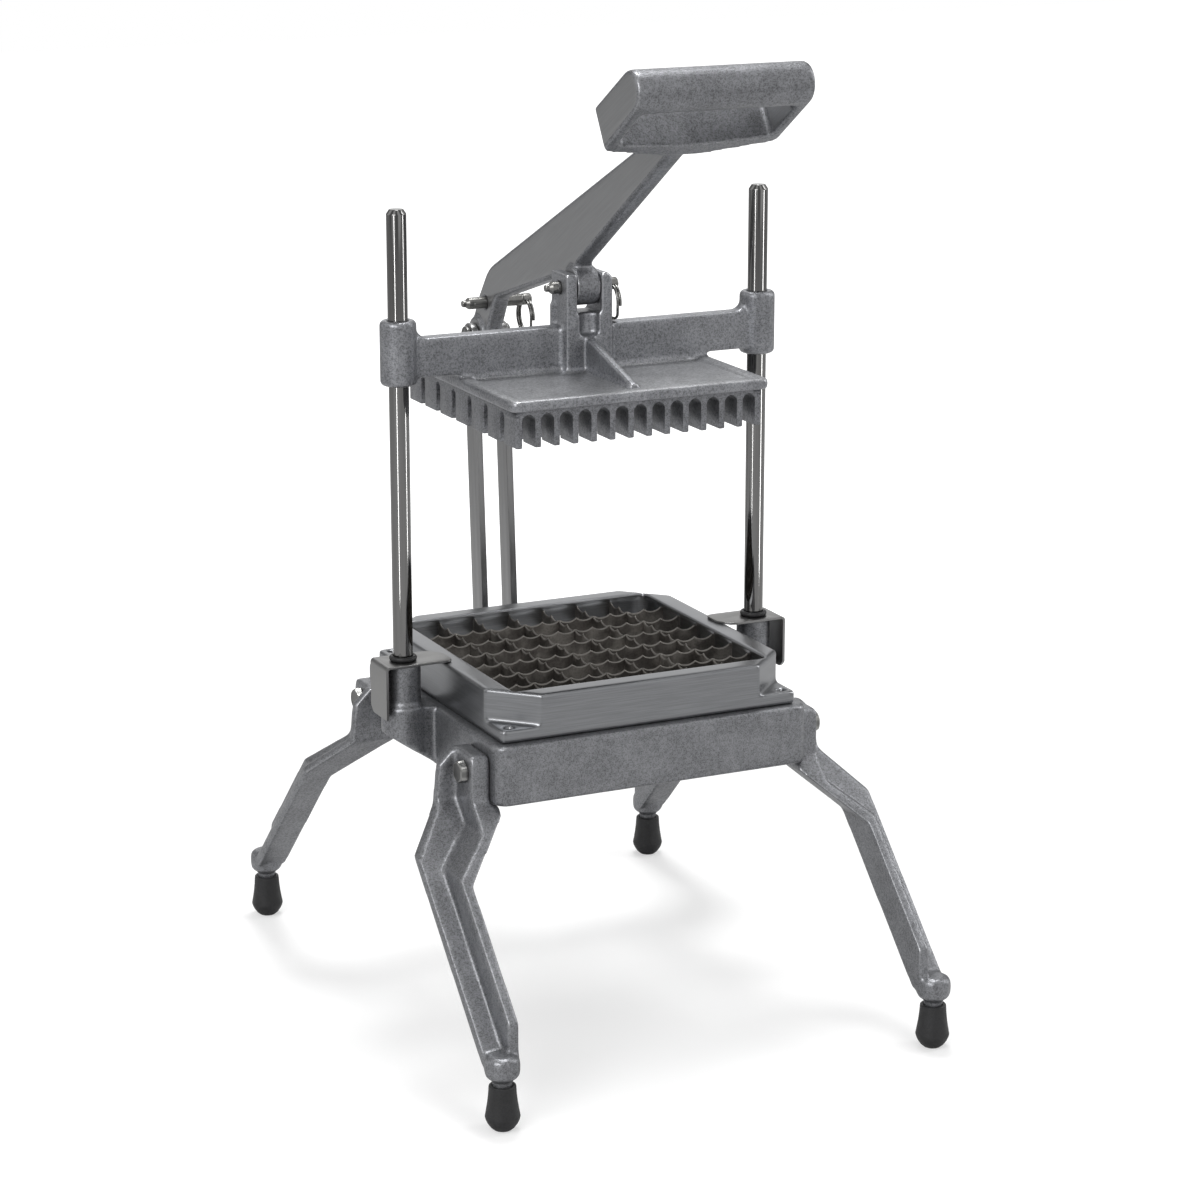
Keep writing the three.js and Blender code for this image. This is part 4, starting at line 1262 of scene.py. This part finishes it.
@dataclass
class BladeGrid:
    """Blade frame with crossing scalloped blades, whose ground edges are lighter."""

    rounding: Rounding = Rounding(0.9, 22)
    pitch: float = 12.7
    lines: int = 7
    reach: float = 92.6
    thickness: float = 1.0
    edge: float = 0.25
    top: float = 232.6
    height: float = 13.0
    low_top: float = 218.6
    low_height: float = 10.0
    scallop: float = 2.3
    scallop_power: float = 2.2
    ground: float = 0.85
    fit: float = 0.3
    clearance: float = 0.05
    least_wall: float = 0.1
    samples: int = 10
    ground_over: float = 0.5
    ground_tilt: float = 0.2

    def build(self, shop: Shop) -> None:
        """Build and dress the frame and the three sets of blades.

        Args:
            shop: What it is built with.
        """
        finishes = shop.finishes
        rim = cast_copy(shop.node("blade_frame"), "blade_rim", self.rounding)
        shop.fit(dressed(rim, finishes.frame), "base", "brushed_aluminium", "blade_frame")
        odd = [line for line in range(1 - self.lines, self.lines) if line % 2]
        quarter = Matrix.Rotation(math.pi / 2, 4, "Z")
        rows = self.blade("row", self.top, self.height, odd, Notch.BELOW)
        columns = self.blade("column", self.top, self.height, odd, Notch.ABOVE)
        low = self.blade("low", self.low_top, self.low_height, [], Notch.BELOW)
        columns.transform(quarter)
        low.transform(quarter)
        wide = 2 * self.pitch
        for kind, blade, pitch, count in (
            ("row", rows, (0.0, wide), (1, 6)),
            ("column", columns, (wide, 0.0), (6, 1)),
            ("low", low, (wide, 0.0), (7, 1)),
        ):
            metals = (finishes.blade, finishes.blade_edge)
            made = shop.repeater.spread(f"{kind}_blades", blade, pitch, count, *metals)
            nodes = [f"{kind}_blade_{index + 1}" for index in range(max(count))]
            shop.fit(made, "base", "blade_steel", *nodes)

    def rise(self, along: float) -> float:
        """Find how far the scalloped edge lies below the top of the blade.

        Args:
            along: Place along the blade.

        Returns:
            The depth there.
        """
        within = (along / self.pitch) % 1.0
        if abs(along) > self.lines * self.pitch:
            return 0.0
        return self.scallop * (1 - abs(2 * within - 1) ** self.scallop_power)

    def blade(self, name: str, top: float, height: float, notches: list[int], side: Notch) -> Mesh:
        """Make one blade along X, notched where others cross it.

        Args:
            name: Name of the mesh.
            top: Height of the cusps.
            height: Height of the blade.
            notches: Grid lines on which other blades cross.
            side: Side on which the notches open.

        Returns:
            The mesh, with its ground faces marked.
        """
        middle = self.top - self.height / 2
        half = self.thickness / 2 + self.fit
        span = self.lines * self.samples
        stations = [step * self.pitch / self.samples for step in range(-span, span + 1)]
        stations += [-self.reach, self.reach]
        walls = [line * self.pitch for line in notches]
        ends = [(x, 0) for x in stations if all(abs(x - wall) > half + self.clearance for wall in walls)]
        ends += [(wall + way * half, way) for wall in walls for way in (-1, 1)]
        t, e = self.thickness / 2, self.edge / 2
        rings = []
        for x, way in sorted(ends):
            whole = (top - self.rise(x), top - height)
            cut = (whole[0], middle) if side is Notch.BELOW else (middle, whole[1])
            spans = {-1: (whole, cut), 0: (whole,), 1: (cut, whole)}[way]
            for high, low in spans:
                shoulder = max(high - self.ground, low + self.least_wall)
                section = ((-t, low), (t, low), (t, shoulder), (e, high), (-e, high), (-t, shoulder))
                rings.append([(x, y, z) for y, z in section])
        mesh = lofted(name, rings, smooth=False)
        over, tilt = (middle + self.ground_over) * MM, self.ground_tilt
        marks = [face.normal.z > tilt and face.center.z > over for face in mesh.polygons]
        attribute = mesh.attributes.new("ground_edge", "BOOLEAN", "FACE")
        attribute.data.foreach_set("value", marks)
        return mesh


@dataclass
class Pusher:
    """Finger plate with its crossbar, sleeves, clevis and front rib.

    The fingers are made apart from the casting above them. Their tips are given by the height over
    the lowest point and by how far they draw in there. Walls are the boxes, from side to side and
    from front to back, that stand on the field of the plate.
    """

    rounding: Rounding = Rounding(1.15, 6)
    pitch: float = 12.7
    columns: int = 14
    rows: int = 7
    finger_low: float = 389.2
    finger_half: Pair = (2.1, 9.45)
    finger_tip: tuple[Pair, ...] = ((0.0, 0.55), (0.18, 0.2), (0.6, 0.0))
    finger_shaft: Pair = (400.0, 406.0)
    finger_corner: float = 0.7
    vault_low: float = 406.15
    vault_rise: float = 4.25
    vault_steps: int = 8
    vault_corner: float = 0.05
    vault_corner_from: float = 409.0
    slot_half: Pair = (4.25, 3.25)
    crowns: Pair = (410.4, 409.6)
    block_half: Pair = (84.65, 85.65)
    plate_low: float = 412.5
    plate_top: float = 419.7
    plate_lap: float = 1.0
    sink: float = 2.0
    field_half: Pair = (80.0, 81.45)
    walls: tuple[tuple[Pair, Pair], ...] = (
        ((-85.0, 85.0), (-6.0, 6.0)),
        ((-16.2, 16.2), (-12.5, 11.5)),
        ((-3.0, 3.0), (-78.0, 0.0)),
    )
    fillet: float = 4.5
    fillet_margin: float = 0.8
    fillet_fade: float = 6.0
    fillet_least: float = 0.2
    fillet_below: float = 1.0
    fillet_upright: float = 0.7
    fillet_leaning: float = 0.35
    top_lit_normal: float = 0.75
    plate_over: float = 0.5
    cut_over: float = 0.05
    rod_reach: float = 127.0
    bore: float = 6.72

    def build(self, shop: Shop) -> None:
        """Build and dress the whole pusher casting.

        Args:
            shop: What it is built with.
        """
        finishes = shop.finishes
        pitch, count = (self.pitch, 2 * self.pitch), (self.columns, self.rows)
        fingers = shop.repeater.spread("fingers", self.finger(), pitch, count, finishes.fingers)
        for vertex in fingers.vertices:
            for axis, limit in enumerate(self.block_half):
                vertex.co[axis] = max(-limit * MM, min(limit * MM, vertex.co[axis]))
        solid = shop.node("pusher_casting")
        casting = cast_copy(solid, "crossbar_and_plate", self.rounding, self.above_fingers)
        self.open_bores(casting)
        self.blend_into_plate(casting)
        # Upward faces of the plate's field take the lighter finish: painted light falling from above.
        dressed(casting, finishes.crossbar).materials.append(finishes.plate)
        for face in casting.polygons:
            level = face.normal.z > self.top_lit_normal
            face.material_index = int(level and face.center.z < (self.plate_top + self.plate_over) * MM)
        shop.fit(fingers, "pusher", "cast_aluminium", "pusher_casting")
        shop.fit(casting, "pusher", "cast_aluminium", "pusher_casting")

    def finger_width(self, side: int, height: float) -> float:
        """Find the half width of a finger, which widens in round vaults to meet its neighbours.

        Args:
            side: Zero for its width along X and one for its depth along Y.
            height: Height over the floor.

        Returns:
            The half width there.
        """
        slot = self.slot_half[side]
        over = min(max(height - (self.crowns[side] - slot), 0.0), slot)
        open_half = math.sqrt(max(slot**2 - over**2, 0.0))
        return self.finger_half[side] + slot - open_half

    def finger(self) -> Mesh:
        """Make one finger from tip to crown.

        Returns:
            The mesh, in metres.
        """
        levels = [(self.finger_low + up, inset) for up, inset in self.finger_tip]
        levels += [(height, 0.0) for height in self.finger_shaft]
        turns = [step * math.pi / (2 * self.vault_steps) for step in range(1, self.vault_steps + 1)]
        levels += [(self.vault_low + self.vault_rise * math.sin(turn), 0.0) for turn in turns]
        levels.append((self.plate_low + self.plate_lap, 0.0))
        rings = []
        for height, inset in levels:
            half_x, half_y = (self.finger_width(side, height) - inset for side in (0, 1))
            corner = self.finger_corner if height < self.vault_corner_from else self.vault_corner
            rings.append([(x, y, height) for x, y in round_rectangle(half_x, half_y, corner, 2)])
        return sharpen(lofted("finger", rings), 40.0)

    def above_fingers(self, work: bmesh.types.BMesh) -> None:
        """Cut away the fingers, which are made apart.

        Args:
            work: Copy of the pusher's solid.
        """
        whole = work.verts[:] + work.edges[:] + work.faces[:]
        place, up = (0.0, 0.0, (self.plate_low + self.cut_over) * MM), (0.0, 0.0, 1.0)
        result = bmesh.ops.bisect_plane(work, geom=whole, plane_co=place, plane_no=up, clear_inner=True)
        rim = [item for item in result["geom_cut"] if isinstance(item, bmesh.types.BMEdge)]
        bmesh.ops.holes_fill(work, edges=rim, sides=0)

    def from_walls(self, x: float, y: float) -> Vector:
        """Find the way from the nearest wall that stands on the plate to a point of its field.

        Args:
            x: Place of the point from side to side.
            y: Place of the point from front to back.

        Returns:
            The way, which is zero inside a wall.
        """
        ways = []
        for (left, right), (front, back) in self.walls:
            ways.append(Vector((x - min(max(x, left), right), y - min(max(y, front), back), 0.0)))
        return min(ways, key=lambda way: way.length)

    def blend_into_plate(self, mesh: Mesh) -> None:
        """Turn the corner between the plate's field and what stands on it into a round fillet.

        Args:
            mesh: The rounded casting.
        """
        field_height = self.plate_top - self.sink
        for vertex in mesh.vertices:
            x, y, z = vertex.co / MM
            inside = min(self.field_half[0] - abs(x), self.field_half[1] - abs(y)) - self.fillet_margin
            size = self.fillet * min(inside / self.fillet_fade, 1.0)
            height = z - field_height
            if size < self.fillet_least or height < -self.fillet_below or height > size:
                continue
            way = self.from_walls(x, y)
            gap = way.length
            flat = Vector((vertex.normal.x, vertex.normal.y, 0.0))
            if gap > size or (gap == 0.0 and flat.length < self.fillet_upright):
                continue
            turn = math.pi / 4 * (size - gap + max(height, 0.0)) / size
            heading = (flat if flat.length > self.fillet_leaning else way).normalized()
            vertex.co += heading * (size * (1 - math.sin(turn)) - gap) * MM
            vertex.co.z = (field_height + size * (1 - math.cos(turn))) * MM

    def open_bores(self, mesh: Mesh) -> None:
        """Press the two bores back to their size after the casting was rounded.

        Args:
            mesh: The rounded casting.
        """
        for vertex in mesh.vertices:
            centre = math.copysign(self.rod_reach * MM, vertex.co.x)
            away = Vector((vertex.co.x - centre, vertex.co.y))
            if away.length < self.bore * MM:
                away = away.normalized() * self.bore * MM
                vertex.co.x, vertex.co.y = centre + away.x, away.y


@dataclass
class Handle:
    """Handle casting with its closed grip."""

    rounding: Rounding = Rounding(1.15, 7)

    def build(self, shop: Shop) -> None:
        """Build and dress the handle."""
        mesh = cast_copy(shop.node("handle_casting"), "lever_handle", self.rounding)
        shop.fit(dressed(mesh, shop.finishes.handle), "handle", "linished_aluminium", "handle_casting")


@dataclass
class Link:
    """Two flat bars between the base and the handle's back leg, with their screws and bolt."""

    top: Pair = (153.6, 414.0)
    foot: Pair = (140.0, 190.0)
    inner: float = 8.7
    thickness: float = 4.7
    edge_round: float = 0.6
    radius: float = 8.5
    end_steps: int = 16
    hole: float = 4.3
    sides: int = 40
    shank: float = 4.0
    head: float = 6.4
    screw_head: float = 2.5
    socket_radius: float = 1.6
    socket_depth: float = 1.1
    bolt_gap: float = 0.3
    bolt_head: float = 4.5
    bolt_chamfer: Pair = (0.6, 0.9)
    bolt_end: Pair = (5.6, 6.2)
    bolt_tip: float = 3.3
    nut_height: float = 4.5
    nut_chamfer: Pair = (1.0, 0.5)
    nut_sides: int = 6

    def build(self, shop: Shop) -> None:
        """Build and dress bars, screws and bolt.

        Args:
            shop: What it is built with.
        """
        finishes = shop.finishes
        for place, side in (("left", -1), ("right", 1)):
            bar = dressed(self.bar(f"side_bar_{place}", side), finishes.satin)
            shop.fit(bar, "link", "satin_steel", f"link_bar_{place}")
            screw = dressed(self.screw(f"shoulder_screw_{place}", side), finishes.bolt)
            shop.fit(screw, "link", "satin_steel", f"link_screw_{place}")
        shop.fit(dressed(self.bolt(), finishes.bolt), "base", "satin_steel", "link_bolt")

    def bar(self, name: str, side: int) -> Mesh:
        """Make one bar with round ends and eased edges.

        Args:
            name: Name of the mesh.
            side: Minus one for the left bar and one for the right bar.

        Returns:
            The mesh, in metres.
        """
        low, high = Vector(self.foot), Vector(self.top)
        radius, length = self.radius, (high - low).length
        turns = [math.pi * step / self.end_steps for step in range(self.end_steps + 1)]
        foot_end = [(-radius * math.cos(turn), -radius * math.sin(turn)) for turn in turns]
        top_end = [(radius * math.cos(turn), length + radius * math.sin(turn)) for turn in turns]
        holes = [circle(self.hole), circle(self.hole, (0.0, length))]
        start = self.inner if side > 0 else -self.inner - self.thickness
        stand = Matrix(((0, 0, 1, 0), (1, 0, 0, 0), (0, 1, 0, 0), (0, 0, 0, 1)))
        lean = Matrix.Rotation(-math.atan2(high.x - low.x, high.y - low.y), 4, "X")
        place = Matrix.Translation((0.0, low.x * MM, low.y * MM)) @ lean @ stand
        outlines = [foot_end + top_end, *holes]
        return flat_plate(name, outlines, start, start + self.thickness, self.edge_round, place)

    def screw(self, name: str, side: int) -> Mesh:
        """Make one shoulder screw with a round head and a small socket.

        Args:
            name: Name of the mesh.
            side: Minus one for the left screw and one for the right screw.

        Returns:
            The mesh, in metres.
        """
        outer = self.inner + self.thickness
        top = outer + self.screw_head
        floor = top - self.socket_depth
        corners = [
            (CORE, self.inner), (self.shank, self.inner), (self.shank, outer), (self.head, outer),
            (self.head, top), (self.socket_radius, top), (self.socket_radius, floor), (CORE, floor),
        ]
        profile = [(radius, side * along) for radius, along in rounded(corners, 0.5)]
        return turned(name, profile, self.sides, (0.0, *self.top), Axis.X)

    def bolt(self) -> Mesh:
        """Make the lower bolt with a round head on the left and a nut on the right.

        Returns:
            The mesh, in metres.
        """
        outer = self.inner + self.thickness + self.bolt_gap
        head, left, place = self.head, -outer - self.bolt_head, (0.0, *self.foot)
        depth, length = self.bolt_chamfer
        near, far = (outer + end for end in self.bolt_end)
        corners = [
            (CORE, left), (head - depth, left), (head, left + length), (head, -outer),
            (self.shank, -outer), (self.shank, near), (self.bolt_tip, far), (CORE, far),
        ]
        shank = turned("link_shank", rounded(corners, 0.4), self.sides, place, Axis.X)
        depth, length = self.nut_chamfer
        top = outer + self.nut_height
        chamfer = [(head, top - length), (head - depth, top)]
        profile = [(self.shank, outer), (head, outer), *chamfer, (self.shank, top)]
        nut = turned("link_nut", profile, self.nut_sides, place, Axis.X, loop=True)
        return joined("pivot_bolt", [shank, nut])


@dataclass
class LockPins:
    """Two ball-lock pins, each with a split ring through its cross hole.

    The nose of a pin is given by the radius and the distance from its left end, and its tail by how
    far it lies below the pin's radius and the distance from its right end.
    """

    radius: float = 3.97
    left: float = -26.0
    right: float = 24.6
    nose: tuple[Pair, ...] = ((0.3, 0.0), (2.0, 0.0), (2.3, 1.0), (2.3, 2.4), (3.97, 4.6), (3.97, 12.0))
    tail: tuple[Pair, ...] = (
        (0.0, 8.0), (0.0, 7.6), (0.5, 7.2), (0.5, 6.6), (0.0, 6.2), (0.0, 0.8), (0.8, 0.0),
    )
    edge_round: float = 0.35
    pin_sides: int = 48
    ball_radius: float = 1.1
    ball_core: float = 0.001
    ball_place: float = 8.0
    ball_sink: float = 0.9
    ball_steps: int = 10
    ball_sides: int = 20
    ring_place: float = 21.0
    ring_radius: float = 11.4
    ring_wire: float = 0.9
    ring_pitch: float = 1.9
    ring_turns: float = 1.84
    ring_start: float = -2.0
    ring_steps: int = 110
    clevis: Triple = (0.0, 0.0, 471.3)
    stop: Triple = (3.0, 141.3, 438.3)

    def build(self, shop: Shop) -> None:
        """Build and dress both pins and rings.

        Args:
            shop: What it is built with.
        """
        for name, place in (("clevis", self.clevis), ("stop", self.stop)):
            pin = dressed(self.pin(f"ball_pin_{name}", place), shop.finishes.pin)
            shop.fit(pin, f"{name}_pin", "polished_steel", f"{name}_pin")
            ring = dressed(self.ring(f"split_ring_{name}", place), shop.finishes.ring)
            shop.fit(ring, f"{name}_ring", "polished_steel", f"{name}_ring")

    def pin(self, name: str, place: Triple) -> Mesh:
        """Make a pin with a stepped nose, a groove, two balls and a shouldered tail.

        Args:
            name: Name of the mesh.
            place: Middle of the pin.

        Returns:
            The mesh, in metres.
        """
        corners = [(radius, self.left + along) for radius, along in self.nose]
        corners += [(self.radius - below, self.right - back) for below, back in self.tail]
        corners.append((CORE, self.right))
        shank = turned(name, rounded(corners, self.edge_round, 2), self.pin_sides, place, Axis.X)
        turns = [math.pi * step / self.ball_steps for step in range(self.ball_steps + 1)]
        size = self.ball_radius
        dome = [(size * math.sin(turn) + self.ball_core, -size * math.cos(turn)) for turn in turns]
        x, y, z = place
        balls = []
        for side in (-1, 1):
            centre = (x + self.left + self.ball_place, y + side * (self.radius - self.ball_sink), z)
            balls.append(turned("ball", dome, self.ball_sides, centre, Axis.Y))
        return joined(name, [shank, *balls])

    def ring(self, name: str, place: Triple) -> Mesh:
        """Make a split ring of two turns side by side, stepping across between its ends.

        Args:
            name: Name of the mesh.
            place: Middle of the pin that it hangs in.

        Returns:
            The mesh, in metres.
        """
        x, y, z = place
        points = []
        for step in range(self.ring_steps + 1):
            done = self.ring_turns * step / self.ring_steps
            share = min(max((done - (self.ring_turns - 1)) / (2 - self.ring_turns), 0.0), 1.0)
            shift = self.ring_pitch * (share * share * (3 - 2 * share) - 0.5)
            angle = self.ring_start + 2 * math.pi * done
            across, up = self.ring_radius * math.cos(angle), self.ring_radius * math.sin(angle)
            points.append((x + self.ring_place + shift, y + across, z - self.ring_radius + up))
        return wire(name, points, self.ring_wire)


# Studio


@dataclass(frozen=True)
class Lamp:
    """One soft rectangular lamp, with its place, aim, width and height in metres and power in watts."""

    name: str
    place: Triple
    aim: Triple
    size: Pair
    power: float

    def build(self) -> bpy.types.Object:
        """Add the lamp to the scene.

        Returns:
            The lamp.
        """
        data = bpy.data.lights.new(self.name, "AREA")
        data.shape = "RECTANGLE"
        data.size, data.size_y = self.size
        data.energy = self.power
        lamp = object_from(self.name, data)
        lamp.location = self.place
        lamp.rotation_euler = (Vector(self.aim) - Vector(self.place)).to_track_quat("-Z", "Y").to_euler()
        return lamp


@dataclass(frozen=True)
class Studio:
    """White floor, pale surroundings, soft lamps and the camera.

    The strips light only the polished pieces, which mirror them as two narrow lines.
    """

    place: Triple = (-0.90749, -1.92948, 0.83907)
    ahead: Triple = (0.41564, 0.87135, -0.26075)
    right: Triple = (0.90257, -0.43053, 0.0)
    up: Triple = (0.11226, 0.23535, 0.96541)
    lens: float = 101.16
    sensor: float = 36.0
    clip: Pair = (0.05, 50.0)
    lamps: tuple[Lamp, ...] = (
        Lamp("top_lamp", (0.25, 0.42, 2.4), (0.0, 0.0, 0.3), (0.6, 0.6), 27.0),
        Lamp("key_lamp", (-1.9, -1.4, 1.8), (0.0, 0.0, 0.3), (1.6, 1.2), 34.0),
        Lamp("side_lamp", (2.0, -0.6, 1.4), (0.0, 0.0, 0.3), (0.5, 1.8), 11.5),
    )
    strips: tuple[Lamp, ...] = (
        Lamp("strip_left", (-0.611, -0.4355, 0.27), (0.0, 0.0, 0.27), (0.05, 0.5), 1.0),
        Lamp("strip_right", (0.5837, -0.471, 0.27), (0.0, 0.0, 0.27), (0.07, 0.5), 1.4),
    )
    band_count: float = 5.0
    band_levels: Pair = (0.28, 1.0)
    fill_light: float = 0.5
    floor_half: float = 6.0
    floor_shade: float = 0.55
    glow_reach: Pair = (0.45, 1.3)
    glow_levels: Pair = (0.5, 1.0)
    metal_glow: float = 0.12

    def build(self, polished: Sequence[bpy.types.Object]) -> None:
        """Set up camera, world, floor and lamps.

        Args:
            polished: The pieces that mirror the strips.
        """
        scene = bpy.context.scene
        scene.view_settings.view_transform = "Standard"
        self.camera(scene)
        self.world(scene)
        self.floor()
        for lamp in self.lamps:
            lamp.build()
        mirrors = bpy.data.collections.new("polished_pieces")
        for piece in polished:
            mirrors.objects.link(piece)
        for lamp in self.strips:
            strip = lamp.build()
            strip.visible_camera = False
            strip.visible_diffuse = False
            strip.light_linking.receiver_collection = mirrors

    def camera(self, scene: bpy.types.Scene) -> None:
        """Place the camera at the fitted viewpoint.

        Args:
            scene: The scene that it looks at.
        """
        data = bpy.data.cameras.new("photo_camera")
        data.lens = self.lens
        data.sensor_width = self.sensor
        data.clip_start, data.clip_end = self.clip
        camera = object_from("photo_camera", data)
        turn = Matrix((self.right, self.up, tuple(-value for value in self.ahead))).transposed()
        camera.matrix_world = Matrix.Translation(self.place) @ turn.to_4x4()
        scene.camera = camera

    def world(self, scene: bpy.types.Scene) -> None:
        """Light softly, with a white background that metal also shows between darker bands.

        Args:
            scene: The scene to light.
        """
        world = bpy.data.worlds.new("studio")
        scene.world = world
        world.use_nodes = True
        world.node_tree.nodes.clear()
        tree = Tree(world.node_tree)
        path = tree.add("ShaderNodeLightPath").outputs
        seen = tree.math("MAXIMUM", path["Is Camera Ray"], path["Is Transmission Ray"])
        view = tree.add("ShaderNodeTexCoord").outputs["Generated"]
        way = tree.add("ShaderNodeSeparateXYZ", {0: view}).outputs
        heading = tree.math("ARCTAN2", way["X"], tree.math("MULTIPLY", way["Y"], -1.0))
        bands = tree.math("SINE", tree.math("MULTIPLY", heading, self.band_count))
        mirror = tree.ramp(bands, -0.5, 0.5, *self.band_levels)
        glossy = tree.math("MULTIPLY", mirror, path["Is Glossy Ray"])
        plain = tree.math("MULTIPLY", tree.math("SUBTRACT", 1.0, path["Is Glossy Ray"]), self.fill_light)
        level = tree.math("MAXIMUM", seen, tree.math("ADD", glossy, plain))
        back = tree.add("ShaderNodeBackground", {"Color": (1.0, 1.0, 1.0, 1.0), "Strength": level})
        tree.add("ShaderNodeOutputWorld", {"Surface": back.outputs[0]})

    def floor(self) -> None:
        """Lay a white floor that keeps the shadow."""
        half = self.floor_half
        mesh = bpy.data.meshes.new("floor")
        corners = [(-half, -half, 0.0), (half, -half, 0.0), (half, half, 0.0), (-half, half, 0.0)]
        mesh.from_pydata(corners, [], [(0, 1, 2, 3)])
        floor = object_from("floor", mesh)
        material, tree = empty_material("white_floor")
        path = tree.add("ShaderNodeLightPath").outputs
        seen = tree.math("MAXIMUM", path["Is Camera Ray"], path["Is Transmission Ray"])
        reach = tree.add("ShaderNodeVectorMath", {0: tree.object_place()}, operation="LENGTH")
        lift = tree.ramp(reach.outputs["Value"], *self.glow_reach, *self.glow_levels)
        shown = tree.math("MULTIPLY", seen, lift)
        mirrored = tree.math("MULTIPLY", path["Is Glossy Ray"], self.metal_glow)
        matte = tree.add("ShaderNodeBsdfDiffuse", {"Color": rgba((self.floor_shade,) * 3)})
        glow = tree.add("ShaderNodeEmission", {"Strength": tree.math("ADD", shown, mirrored)})
        both = tree.add("ShaderNodeAddShader", {0: matte.outputs[0], 1: glow.outputs[0]})
        tree.add("ShaderNodeOutputMaterial", {"Surface": both.outputs[0]})
        mesh.materials.append(material)
        floor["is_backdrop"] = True


def main() -> list[list[float]]:
    """Build the whole scene.

    Returns:
        The lowest and highest corner of the solids.
    """
    logging.basicConfig(level=logging.INFO, format="%(name)s %(message)s")
    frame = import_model()
    cad = [list(corner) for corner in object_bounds()]
    shop = Shop(frame, Finishes(), Repeater())
    for assembly in (Base(), Rods(), BladeGrid(), Pusher(), Handle(), Link(), LockPins()):
        assembly.build(shop)
    Studio().build(shop.polished)
    return cad


if __name__ == "__main__":
    CAD_BOX = main()
